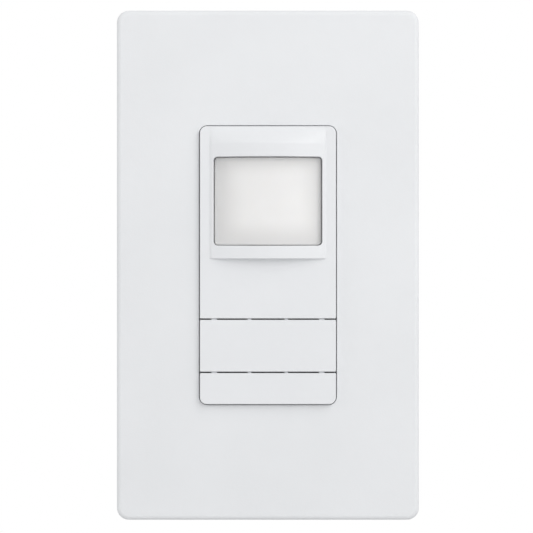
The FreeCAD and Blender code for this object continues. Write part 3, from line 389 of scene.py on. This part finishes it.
def start_material(name):
    """New material with its node tree, shader and object coordinates."""
    material = bpy.data.materials.new(name)
    material.use_nodes = True
    tree = material.node_tree
    shader = tree.nodes["Principled BSDF"]
    place = tree.nodes.new("ShaderNodeTexCoord")
    return material, tree, shader, place.outputs["Object"]


def noise(tree, place, scale, detail=3.0, roughness=0.5, stretch=None):
    """Noise over object coordinates; stretch makes it streaky along an axis."""
    if stretch:
        mapping = tree.nodes.new("ShaderNodeMapping")
        mapping.inputs["Scale"].default_value = stretch
        tree.links.new(place, mapping.inputs["Vector"])
        place = mapping.outputs["Vector"]
    node = tree.nodes.new("ShaderNodeTexNoise")
    node.inputs["Scale"].default_value = scale
    node.inputs["Detail"].default_value = detail
    node.inputs["Roughness"].default_value = roughness
    tree.links.new(place, node.inputs["Vector"])
    return node.outputs["Fac"]


def between(tree, factor, low, high):
    """Map a factor of 0 to 1 on to a range of values."""
    node = tree.nodes.new("ShaderNodeMapRange")
    node.inputs["To Min"].default_value = low
    node.inputs["To Max"].default_value = high
    tree.links.new(factor, node.inputs["Value"])
    return node.outputs["Result"]


def tint(tree, factor, first, second, low=0.35, high=0.65):
    """Colour between two colours as the factor goes from low to high."""
    ramp = tree.nodes.new("ShaderNodeValToRGB")
    ramp.color_ramp.elements[0].position = low
    ramp.color_ramp.elements[0].color = (*first, 1.0)
    ramp.color_ramp.elements[1].position = high
    ramp.color_ramp.elements[1].color = (*second, 1.0)
    tree.links.new(factor, ramp.inputs["Fac"])
    return ramp.outputs["Color"]


def shaded(colour, factor):
    """Colour made darker or lighter, up to white."""
    return tuple(min(1.0, c * factor) for c in colour)


def bump(tree, shader, height, distance):
    """Fine relief on the surface, distance in metres."""
    node = tree.nodes.new("ShaderNodeBump")
    node.inputs["Strength"].default_value = 1.0
    node.inputs["Distance"].default_value = distance
    tree.links.new(height, node.inputs["Height"])
    tree.links.new(node.outputs["Normal"], shader.inputs["Normal"])


def moulded(name, colour, rough, grain, depth, spread):
    """Moulded plastic: faint cloudiness, a fine grain and uneven gloss."""
    material, tree, shader, place = start_material(name)
    cloud = noise(tree, place, 45.0, 4.0)
    base = tint(tree, cloud, shaded(colour, 1 - spread), shaded(colour, 1 + spread))
    tree.links.new(base, shader.inputs["Base Color"])
    fine = noise(tree, place, grain, 2.0)
    gloss = between(tree, noise(tree, place, 160.0), rough - 0.04, rough + 0.04)
    tree.links.new(gloss, shader.inputs["Roughness"])
    bump(tree, shader, fine, depth)
    shader.inputs["IOR"].default_value = 1.49
    return material


def metal(name, colour, rough, stretch):
    """Bare or plated metal with rolling streaks and slight stains."""
    material, tree, shader, place = start_material(name)
    stain = noise(tree, place, 90.0, 5.0, 0.6)
    base = tint(tree, stain, shaded(colour, 0.86), shaded(colour, 1.06), 0.3, 0.7)
    tree.links.new(base, shader.inputs["Base Color"])
    streak = noise(tree, place, 260.0, 3.0, 0.6, stretch)
    gloss = between(tree, streak, rough - 0.09, rough + 0.12)
    tree.links.new(gloss, shader.inputs["Roughness"])
    bump(tree, shader, streak, 0.000004)
    shader.inputs["Metallic"].default_value = 1.0
    return material


def laminate(name, colour):
    """Circuit board: tracks under green resist."""
    material, tree, shader, place = start_material(name)
    tracks = tree.nodes.new("ShaderNodeTexBrick")
    tracks.inputs["Scale"].default_value = 190.0
    tracks.inputs["Mortar Size"].default_value = 0.03
    tracks.inputs["Color1"].default_value = (*shaded(colour, 0.9), 1.0)
    tracks.inputs["Color2"].default_value = (*shaded(colour, 1.15), 1.0)
    tracks.inputs["Mortar"].default_value = (*shaded(colour, 1.7), 1.0)
    turn = tree.nodes.new("ShaderNodeMapping")
    turn.inputs["Rotation"].default_value = (math.pi / 2, 0.0, 0.0)
    tree.links.new(place, turn.inputs["Vector"])
    tree.links.new(turn.outputs["Vector"], tracks.inputs["Vector"])
    tree.links.new(tracks.outputs["Color"], shader.inputs["Base Color"])
    gloss = between(tree, noise(tree, place, 300.0), 0.25, 0.4)
    tree.links.new(gloss, shader.inputs["Roughness"])
    bump(tree, shader, tracks.outputs["Fac"], 0.00003)
    return material


def windings(name, colour):
    """Taped coil with the wire's turns showing."""
    material, tree, shader, place = start_material(name)
    wave = tree.nodes.new("ShaderNodeTexWave")
    wave.bands_direction = "Y"
    wave.inputs["Scale"].default_value = 700.0
    wave.inputs["Distortion"].default_value = 0.6
    tree.links.new(place, wave.inputs["Vector"])
    base = tint(tree, wave.outputs["Fac"], shaded(colour, 0.7), shaded(colour, 1.1), 0.0, 1.0)
    tree.links.new(base, shader.inputs["Base Color"])
    gloss = between(tree, noise(tree, place, 200.0), 0.35, 0.55)
    tree.links.new(gloss, shader.inputs["Roughness"])
    bump(tree, shader, wave.outputs["Fac"], 0.00008)
    return material


def painted_rim_shade_mask(tree, place):
    """Mask of the painted rim shade: one near the window's middle, less towards its rim, and zero at
    the left and lower rim.
    """
    half_w = APERTURE_W / 2 * MM
    half_h = APERTURE_H / 2 * MM
    middle = tree.nodes.new("ShaderNodeMapping")
    middle.inputs["Scale"].default_value = (1 / half_w, 0.0, 1 / half_h)
    window_z = APERTURE_Z * MM / half_h
    middle.inputs["Location"].default_value = (-PAINTED_SHADE_LEAN, 0.0, -window_z - PAINTED_SHADE_LEAN)
    tree.links.new(place, middle.inputs["Vector"])
    size = tree.nodes.new("ShaderNodeVectorMath")
    size.operation = "ABSOLUTE"
    tree.links.new(middle.outputs["Vector"], size.inputs[0])
    parts = tree.nodes.new("ShaderNodeSeparateXYZ")
    tree.links.new(size.outputs["Vector"], parts.inputs[0])
    both = tree.nodes.new("ShaderNodeMath")
    both.operation = "MULTIPLY"
    for i, axis in enumerate(("X", "Z")):
        fade = tree.nodes.new("ShaderNodeMapRange")
        fade.interpolation_type = "SMOOTHSTEP"
        fade.inputs["From Min"].default_value = PAINTED_SHADE_OUTER
        fade.inputs["From Max"].default_value = PAINTED_SHADE_INNER
        tree.links.new(parts.outputs[axis], fade.inputs["Value"])
        tree.links.new(fade.outputs["Result"], both.inputs[i])
    return both.outputs[0]


def frosted(name, colour):
    """Translucent lens plastic with a fine frosting, and painted shade towards its frame."""
    material, tree, shader, place = start_material(name)
    cloud = noise(tree, place, 70.0, 3.0)
    base = tint(tree, cloud, shaded(colour, 0.985), shaded(colour, 1.015))
    # Painted shade: the lens colour is darkened towards the aperture's rim
    rim = tree.nodes.new("ShaderNodeMix")
    rim.data_type = "RGBA"
    tree.links.new(painted_rim_shade_mask(tree, place), rim.inputs["Factor"])
    rim.inputs["A"].default_value = (*shaded(colour, LENS_PAINTED_SHADE), 1.0)
    tree.links.new(base, rim.inputs["B"])
    tree.links.new(rim.outputs["Result"], shader.inputs["Base Color"])
    gloss = between(tree, noise(tree, place, 900.0), 0.5, 0.62)
    tree.links.new(gloss, shader.inputs["Roughness"])
    bump(tree, shader, noise(tree, place, 3800.0, 2.0), 0.000006)
    shader.inputs["Subsurface Weight"].default_value = 0.5
    shader.inputs["Subsurface Radius"].default_value = (1.0, 0.97, 0.9)
    shader.inputs["Subsurface Scale"].default_value = 0.0006
    shader.inputs["IOR"].default_value = 1.5
    return material


# Moulded pieces: roughness, scale of the grain, its depth in metres and the spread of the colour
MOULDED = {
    "sub_plate_plastic": (0.5, 1800.0, 0.00001, 0.012),
    "frame_plastic": (0.5, 1800.0, 0.00001, 0.012),
    "housing_plastic": (0.5, 1500.0, 0.00003, 0.06),
    "washer_fibre": (0.8, 900.0, 0.00006, 0.12),
    "switch_black": (0.45, 1500.0, 0.00002, 0.06),
    "plunger_plastic": (0.45, 1500.0, 0.00001, 0.012),
    "filter_dark": (0.15, 2500.0, 0.000002, 0.05),
    "lamp_clear": (0.3, 2500.0, 0.000004, 0.012),
    "sensor_dark": (0.4, 2500.0, 0.00001, 0.06),
    "connector_black": (0.45, 1500.0, 0.00002, 0.06),
    "insulator_film": (0.55, 1200.0, 0.00003, 0.04),
    "relay_case": (0.42, 1500.0, 0.00002, 0.06),
    "film_case": (0.3, 1500.0, 0.00001, 0.05),
    "capacitor_sleeve": (0.28, 1200.0, 0.00001, 0.05),
    "varistor_coat": (0.35, 500.0, 0.00006, 0.08),
    "fuse_body": (0.5, 1500.0, 0.00001, 0.03),
}

# Metal pieces: roughness and the stretch of the streaks along each axis
METALS = {
    "strap_steel": (0.34, (1.0, 1.0, 14.0)),
    "screw_steel": (0.3, (6.0, 1.0, 6.0)),
    "spring_steel": (0.22, (1.0, 6.0, 1.0)),
    "ground_green": (0.32, (1.0, 6.0, 6.0)),
    "terminal_brass": (0.27, (1.0, 8.0, 1.0)),
    "can_metal": (0.28, (5.0, 1.0, 5.0)),
}


def make_materials():
    """Material of every slot; the hidden ones take their colour from the record."""
    colours = {m["slot"]: tuple(m["base_color"]) for m in frame["record"]["materials"]}
    made = {
        "plate_plastic": moulded("plate_plastic", (0.81, 0.82, 0.832), 0.5, 2600.0, 0.000012, 0.012),
        "insert_plastic": moulded("insert_plastic", (0.81, 0.82, 0.834), 0.42, 3600.0, 0.000005, 0.008),
        "lens_plastic": frosted("lens_plastic", (0.88, 0.872, 0.862)),
        "board_laminate": laminate("board_laminate", colours["board_laminate"]),
        "coil_wrap": windings("coil_wrap", colours["coil_wrap"]),
    }
    for slot, values in MOULDED.items():
        made[slot] = moulded(slot, colours[slot], *values)
    for slot, values in METALS.items():
        made[slot] = metal(slot, colours[slot], *values)
    return made


MATERIALS = make_materials()


def dress_nodes():
    """Give every CAD node the material of its slot."""
    slots = {p["node"]: p["material_slot"] for p in frame["record"]["subparts"]}
    for name, obj in frame["nodes"].items():
        for place in obj.material_slots:
            place.material = MATERIALS[slots[name]]


# Visible pieces

def wall_plate():
    """Plate with a round outer edge, a softened opening, ribs and catches."""
    w, h = PLATE_W, PLATE_H
    rings = [ring(w, h, PLATE_CORNER, 0.0)]
    rings += rounded_end(w, h, PLATE_CORNER, PLATE_FRONT, PLATE_EDGE)
    flat = 2 * (PLATE_EDGE + PLATE_FLAT_IN)
    rings.append(ring(w - flat, h - flat, PLATE_CORNER - PLATE_EDGE, PLATE_FRONT))
    edge = OPENING_EDGE
    for i in range(EDGE_STEPS + 1):
        a = math.pi / 2 * i / EDGE_STEPS
        grow = 2 * edge * (1 - math.sin(a))
        y = PLATE_FRONT + edge * (1 - math.cos(a))
        rings.append(ring(OPENING_W + grow, OPENING_H + grow, OPENING_CORNER + grow / 2, y))
    rings.append(ring(OPENING_W, OPENING_H, OPENING_CORNER, PLATE_INNER))
    room_w = w - 2 * PLATE_WALL
    room_h = h - 2 * PLATE_WALL
    rings.append(ring(room_w, room_h, PLATE_INNER_CORNER, PLATE_INNER))
    rings.append(ring(room_w, room_h, PLATE_INNER_CORNER, 0.0))
    plate = from_rings("plate", rings, closed=True)
    rib_front = PLATE_INNER - PLATE_RIB_ROOT
    added = [centred(PLATE_RIB_T, rib_front, SUB_FRONT, PLATE_RIB_L, sx * PLATE_RIB_X) for sx in BOTH]
    added += [catch(sx, sz) for sx, sz in CORNERS]
    carve(plate, added, "UNION")
    carve(plate, [centred(NOTCH_W, -NOTCH_DEPTH, BEYOND, NOTCH_H, 0.0, -h / 2)])
    return finished(shade(plate), "wall_plate", "plate_plastic", "root", "wall_plate")


def catch(sx, sz):
    """Wedge inside the plate's long wall that snaps behind the sub-plate."""
    wall = PLATE_W / 2 - PLATE_WALL
    tip = wall - CATCH_BITE
    root = wall + CATCH_ROOT
    y0 = STRAP_FRONT + CATCH_GAP
    y1 = y0 + CATCH_BITE
    rings = []
    for z in (sz * CATCH_Z - CATCH_L / 2, sz * CATCH_Z + CATCH_L / 2):
        points = [(root, y0), (tip, y0), (wall, y1), (root, y1)]
        rings.append([(sx * x, y, z) for x, y in points])
    return from_rings("catch", rings)


def hood_row(z, share, drop=0.0):
    """Outline of the hood across X at height z, its sides blended into the face."""
    half = HOOD_W / 2
    foot = half + HOOD_BLEND_OUT
    inner = half - HOOD_BLEND_IN
    base = FACE_FRONT + HOOD_SINK
    side = FACE_FRONT - HOOD_SIDE_STEP * share + drop
    rise = max(HOOD_BOW * share, LEAST_BOW)
    radius = (half ** 2 + rise ** 2) / (2 * rise)
    slope = inner / math.sqrt(radius ** 2 - inner ** 2)

    def front(x):
        return side - (math.sqrt(radius ** 2 - x ** 2) - (radius - rise))

    climb = base - front(inner)
    points = [(-foot, FACE_FRONT + HOOD_ROOT, z)]
    for i in range(BLEND_STEPS):
        t = i / BLEND_STEPS
        height = climb * t * t * (3 - 2 * t) + (foot - inner) * slope * t * t * (t - 1)
        points.append((-foot + (foot - inner) * t, base - height, z))
    mirror = [(-x, y, z) for x, y, z in reversed(points)]
    for i in range(BOW_STEPS + 1):
        x = -inner + 2 * inner * i / BOW_STEPS
        points.append((x, front(x), z))
    return points + mirror


def hood():
    """Bowed hood with a rounded ledge and the scoop of its brow."""
    rows = []
    for i in range(EDGE_STEPS + 1):
        a = math.pi / 2 * i / EDGE_STEPS
        z = HOOD_LEDGE + HOOD_EDGE * (1 - math.cos(a))
        rows.append(hood_row(z, 1.0, HOOD_EDGE * (1 - math.sin(a))))
    rows.append(hood_row(HOOD_TOP - BROW_STRIP, 1.0))
    for i in range(SCOOP_STEPS + 1):
        way = (i / SCOOP_STEPS) ** SCOOP_POWER
        fall = math.hypot(way, SCOOP_CREST) - SCOOP_CREST
        share = 1.0 - fall / (math.hypot(1.0, SCOOP_CREST) - SCOOP_CREST)
        rows.append(hood_row(HOOD_TOP + HOOD_SCOOP * way, share, HOOD_SINK * way))
    return from_rings("hood", rows)


def bow_block(radius, w, h, y_back, z):
    """Block whose front is bowed about the hood's axis."""
    rings = []
    for height in (z - h / 2, z + h / 2):
        points = [(-w / 2, y_back, height)]
        for i in range(BOW_STEPS + 1):
            x = -w / 2 + w * i / BOW_STEPS
            points.append((x, HOOD_AXIS_Y - math.sqrt(radius ** 2 - x ** 2), height))
        points.append((w / 2, y_back, height))
        rings.append(points)
    return from_rings("bow", rings)


def aperture():
    """Cutter of the window, a little wider towards the front."""
    rings = []
    for y in (FACE_FRONT - HOOD_RISE - BEYOND, LENS_FRAME_BACK):
        wider = 2 * (FACE_FRONT - y) * APERTURE_SPREAD
        h = APERTURE_H + 2 * APERTURE_ROOM + wider
        rings.append(ring(APERTURE_W + wider, h, APERTURE_CORNER, y, 0.0, APERTURE_Z))
    return from_rings("aperture", rings)


def soften_aperture(obj):
    """Round the edge where the aperture meets the hood's bowed face."""
    bm = bmesh.new()
    bm.from_mesh(obj.data)
    bmesh.ops.remove_doubles(bm, verts=bm.verts, dist=SAME_POINT)
    rim = []
    for edge in bm.edges:
        if len(edge.link_faces) != 2 or edge.calc_face_angle(0.0) < math.radians(RIM_ANGLE):
            continue
        mid = (edge.verts[0].co + edge.verts[1].co) / 2 / MM
        on_front = abs(math.hypot(mid.x, HOOD_AXIS_Y - mid.y) - HOOD_R) < RIM_OFF_FRONT
        near_z = abs(mid.z - APERTURE_Z) < APERTURE_H / 2 + RIM_PAST_APERTURE
        near_x = abs(mid.x) < HOOD_W / 2 - RIM_FROM_SIDE
        if on_front and near_z and near_x:
            rim.append(edge)
    bmesh.ops.bevel(bm, geom=rim, offset=APERTURE_EDGE * MM, offset_type="OFFSET",
                    segments=3, profile=0.5, affect="EDGES", clamp_overlap=True)
    bm.to_mesh(obj.data)
    bm.free()


def bezel():
    """Sensor face with the lens hood, and the carrier floor behind the bars."""
    face_h = INSERT_TOP - FACE_BOTTOM
    face_z = (INSERT_TOP + FACE_BOTTOM) / 2
    rings = [ring(INSERT_W, face_h, INSERT_CORNER, STRAP_FRONT, 0.0, face_z, SEAM_CORNER)]
    rings += rounded_end(INSERT_W, face_h, INSERT_CORNER, FACE_FRONT, INSERT_EDGE, SEAM_CORNER, face_z)
    body = from_rings("bezel", rings)
    carve(body, [slab(INSERT_W, INSERT_H, FLOOR_FRONT, STRAP_FRONT, INSERT_CORNER)], "UNION")
    carve(body, [hood()], "UNION")
    half = ROOM_W / 2
    low = FACE_BOTTOM + BEZEL_WALL
    carve(body, [
        block(-half, half, FACE_BACK, 0.0, low, ROOM_H / 2),
        block(-half, half, FLOOR_BACK, 0.0, -ROOM_H / 2, FACE_BOTTOM),
    ])
    seat_h = LENS_H + LENS_SIDE_GAP
    frame_h = seat_h + 2 * BEZEL_WALL
    frame_w = ROOM_W + 2 * OVERLAP
    added = [centred(frame_w, FACE_BACK - OVERLAP, LENS_FRAME_BACK, frame_h, 0.0, APERTURE_Z)]
    for sx, sz in CORNERS:
        front = FACE_BACK if sz > 0 else FLOOR_BACK
        added.append(rod(BOSS_R, front - OVERLAP, STRAP_FRONT, sx * BOSS_X, sz * BOSS_Z))
    cutters = [aperture(), bow_block(LENS_SEAT_R, ROOM_W, seat_h, 0.0, APERTURE_Z)]
    seat_front = FLOOR_FRONT - SEAT_H
    cut_front = FLOOR_FRONT - BEYOND
    guide_w = GUIDE_W + GUIDE_HOLE_ROOM
    guide_h = GUIDE_H + GUIDE_HOLE_ROOM
    for z in (ON_OFF_Z, LOWER_Z):
        cutters.append(centred(PUSHER_HOLE_W, cut_front, 0.0, PUSHER_HOLE_W, 0.0, z))
        for sx in BOTH:
            added.append(centred(SEAT_W, seat_front, FLOOR_FRONT + OVERLAP, SEAT_W, sx * SPRING_X, z))
            cutters.append(centred(guide_w, cut_front, 0.0, guide_h, sx * GUIDE_X, z))
    for sx, sz in CORNERS:
        cutters.append(rod(BOSS_HOLE_R, STRAP_FRONT - BOSS_HOLE_DEPTH, 0.0, sx * BOSS_X, sz * BOSS_Z))
    carve(body, added, "UNION")
    carve(body, cutters)
    soften_aperture(body)
    return finished(shade(body, 25.0), "bezel", "insert_plastic", "root", "bezel")


def lens():
    """Bowed frosted window, raised where it shows, with a fine gap round it."""
    body = bow_block(LENS_R, LENS_W, LENS_H, LENS_SKIRT_BACK, APERTURE_Z)
    sight_w = APERTURE_W - SIGHT_NARROWING - 2 * LENS_GAP
    sight_h = APERTURE_H + 2 * APERTURE_ROOM - 2 * LENS_GAP
    sight_r = APERTURE_CORNER - LENS_GAP
    raised = slab(sight_w, sight_h, FACE_FRONT - HOOD_RISE, SIGHT_BACK, sight_r, APERTURE_Z)
    front_r = LENS_R + LENS_STEP
    front = bow_block(front_r, LENS_W + BEYOND, LENS_H + BEYOND, SIGHT_FRONT_BACK, APERTURE_Z)
    carve(raised, [front], "INTERSECT")
    carve(body, [raised], "UNION")
    inner_r = LENS_R - LENS_T
    cutters = [bow_block(inner_r, LENS_W + 2 * BEYOND, LENS_H + 2 * BEYOND, 0.0, APERTURE_Z)]
    for i in range(LENS_GROOVES):
        x = GROOVE_PITCH * (i - (LENS_GROOVES - 1) / 2)
        back = HOOD_AXIS_Y - math.sqrt(inner_r ** 2 - x ** 2)
        cutters.append(centred(GROOVE_W, back - GROOVE_DEPTH, 0.0, APERTURE_H, x, APERTURE_Z))
    carve(body, cutters)
    return finished(shade(body, 25.0), "lens", "lens_plastic", "root", "lens")


def push_bar(name, top, bottom, low_r, works_z, body):
    """Hollow bar with softened edges, pips, guides and pusher."""
    h = top - bottom
    mid = (top + bottom) / 2
    rings = [ring(INSERT_W, h, SEAM_CORNER, SKIRT_BACK, 0.0, mid, low_r)]
    rings += rounded_end(INSERT_W, h, SEAM_CORNER, FACE_FRONT, INSERT_EDGE, low_r, mid)
    bar = from_rings("bar", rings)
    carve(bar, [centred(INSERT_W - 2 * BAR_WALL, FACE_BACK, 0.0, h - 2 * BAR_WALL, 0.0, mid)])
    added = []
    pip_front = FACE_FRONT + PIP_SETBACK
    for x, w in PIPS:
        for sx in BOTH:
            left = sx * x - w / 2
            right = sx * x + w / 2
            added.append(block(left, right, pip_front, pip_front + PIP_T, top - PIP_IN, top + PIP_OUT))
    inside = FACE_BACK - OVERLAP
    hook_front = FLOOR_BACK + HOOK_GAP
    hook_back = hook_front + HOOK_T
    for sx in BOTH:
        guide_x = sx * GUIDE_X
        hook_x = sx * (GUIDE_X + HOOK_SHIFT)
        added.append(centred(GUIDE_W, inside, hook_back, GUIDE_H, guide_x, works_z))
        added.append(centred(HOOK_W, hook_front, hook_back, HOOK_H, hook_x, works_z))
        added.append(centred(SEAT_W, inside, FACE_BACK + SEAT_H, SEAT_W, sx * SPRING_X, works_z))
    added.append(centred(PUSHER_W, inside, PUSHER_BACK, PUSHER_W, 0.0, works_z))
    carve(bar, added, "UNION")
    return finished(shade(bar, 25.0), name, "insert_plastic", body, name)


# Springs

def spring(name, node, x, z):
    """Round wire coil between the bar and the carrier floor, in place of the CAD spring node."""
    start = FACE_BACK + WIRE_R + COIL_GAP
    end = FLOOR_FRONT - WIRE_R - COIL_GAP
    steps = TURN_STEPS * COIL_TURNS
    rings = []
    for i in range(steps + 1):
        a = 2 * math.pi * COIL_TURNS * i / steps
        out = Vector((math.cos(a), 0.0, math.sin(a)))
        centre = Vector((x, start + (end - start) * i / steps, z)) + out * COIL_R
        points = []
        for k in range(WIRE_SIDES):
            b = 2 * math.pi * k / WIRE_SIDES
            points.append(centre + out * (WIRE_R * math.cos(b)) + Vector((0, WIRE_R * math.sin(b), 0)))
        rings.append([tuple(p) for p in points])
    obj = from_rings("coil", rings)
    finished(shade(obj, 60.0), name, "spring_steel", "root")
    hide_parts(node)
    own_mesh(obj)
    return obj


# Light, backdrop and camera

def is_seen(tree):
    """One where a camera, mirror or glass ray asks, and zero for light on surfaces."""
    path = tree.nodes.new("ShaderNodeLightPath")
    value = path.outputs["Is Camera Ray"]
    for name in ("Is Glossy Ray", "Is Transmission Ray"):
        larger = tree.nodes.new("ShaderNodeMath")
        larger.operation = "MAXIMUM"
        tree.links.new(value, larger.inputs[0])
        tree.links.new(path.outputs[name], larger.inputs[1])
        value = larger.outputs[0]
    return value


def make_world(level):
    """Even light from all sides, which the camera sees as plain white."""
    world = bpy.data.worlds.new("studio")
    bpy.context.scene.world = world
    world.use_nodes = True
    tree = world.node_tree
    lit = tree.nodes["Background"]
    lit.inputs["Color"].default_value = (0.985, 0.99, 1.0, 1.0)
    lit.inputs["Strength"].default_value = level
    white = tree.nodes.new("ShaderNodeBackground")
    white.inputs["Color"].default_value = (1.0, 1.0, 1.0, 1.0)
    mix = tree.nodes.new("ShaderNodeMixShader")
    tree.links.new(is_seen(tree), mix.inputs[0])
    tree.links.new(lit.outputs[0], mix.inputs[1])
    tree.links.new(white.outputs[0], mix.inputs[2])
    tree.links.new(mix.outputs[0], tree.nodes["World Output"].inputs["Surface"])


def make_floor(z):
    """Pale floor that keeps the shadow near the object and is plain white further off."""
    half = FLOOR_HALF
    bm = bmesh.new()
    corners = [(-half, -half, z), (half, -half, z), (half, half, z), (-half, half, z)]
    bm.faces.new([bm.verts.new(c) for c in corners])
    mesh = bpy.data.meshes.new("floor")
    bm.to_mesh(mesh)
    bm.free()
    floor = new_object("floor", mesh)
    material = bpy.data.materials.new("floor")
    material.use_nodes = True
    tree = material.node_tree
    shader = tree.nodes["Principled BSDF"]
    shader.inputs["Base Color"].default_value = (0.8, 0.8, 0.8, 1.0)
    shader.inputs["Roughness"].default_value = 0.9
    shader.inputs["Specular IOR Level"].default_value = 0.0
    place = tree.nodes.new("ShaderNodeTexCoord")
    length = tree.nodes.new("ShaderNodeVectorMath")
    length.operation = "LENGTH"
    tree.links.new(place.outputs["Object"], length.inputs[0])
    fade = tree.nodes.new("ShaderNodeMapRange")
    fade.interpolation_type = "SMOOTHSTEP"
    fade.inputs["From Min"].default_value = FLOOR_FADE_START
    fade.inputs["From Max"].default_value = FLOOR_FADE_END
    tree.links.new(length.outputs["Value"], fade.inputs["Value"])
    both = tree.nodes.new("ShaderNodeMath")
    both.operation = "MULTIPLY"
    tree.links.new(fade.outputs["Result"], both.inputs[0])
    tree.links.new(is_seen(tree), both.inputs[1])
    white = tree.nodes.new("ShaderNodeEmission")
    mix = tree.nodes.new("ShaderNodeMixShader")
    tree.links.new(both.outputs[0], mix.inputs[0])
    tree.links.new(shader.outputs[0], mix.inputs[1])
    tree.links.new(white.outputs[0], mix.inputs[2])
    tree.links.new(mix.outputs[0], tree.nodes["Material Output"].inputs["Surface"])
    mesh.materials.append(material)


def lamp(name, place, size, watts):
    """Soft square lamp that faces the object."""
    data = bpy.data.lights.new(name, "AREA")
    data.energy = watts
    data.size = size
    obj = bpy.data.objects.new(name, data)
    bpy.context.scene.collection.objects.link(obj)
    obj.location = place
    obj.rotation_euler = (-Vector(place)).to_track_quat("-Z", "Y").to_euler()


def make_camera():
    """Straight on from the front, far enough away to look nearly flat."""
    data = bpy.data.cameras.new("camera")
    data.sensor_width = 36.0
    data.lens = data.sensor_width * CAMERA_AWAY / VIEW_WIDTH
    camera = bpy.data.objects.new("camera", data)
    bpy.context.scene.collection.objects.link(camera)
    camera.location = (CAMERA_X, PLATE_FRONT * MM - CAMERA_AWAY, CAMERA_Z)
    camera.rotation_euler = (math.pi / 2, 0.0, 0.0)
    bpy.context.scene.camera = camera


dress_nodes()
wall_plate()
bezel()
lens()
push_bar("on_off_button", ON_OFF_TOP, ON_OFF_BOTTOM, SEAM_CORNER, ON_OFF_Z, "on_off_bar")
push_bar("lower_button", LOWER_TOP, INSERT_BOTTOM, INSERT_CORNER, LOWER_Z, "lower_bar")
for side, label in ((-1, "left"), (1, "right")):
    spring("on_off_spring_" + label, "on_off_springs", side * SPRING_X, ON_OFF_Z)
    spring("lower_spring_" + label, "lower_springs", side * SPRING_X, LOWER_Z)

make_world(WORLD_LEVEL)
make_floor(FLOOR_Z)
for name, place, size, watts in LAMPS:
    lamp(name, place, size, watts)
make_camera()
bpy.context.scene.view_settings.view_transform = "Standard"
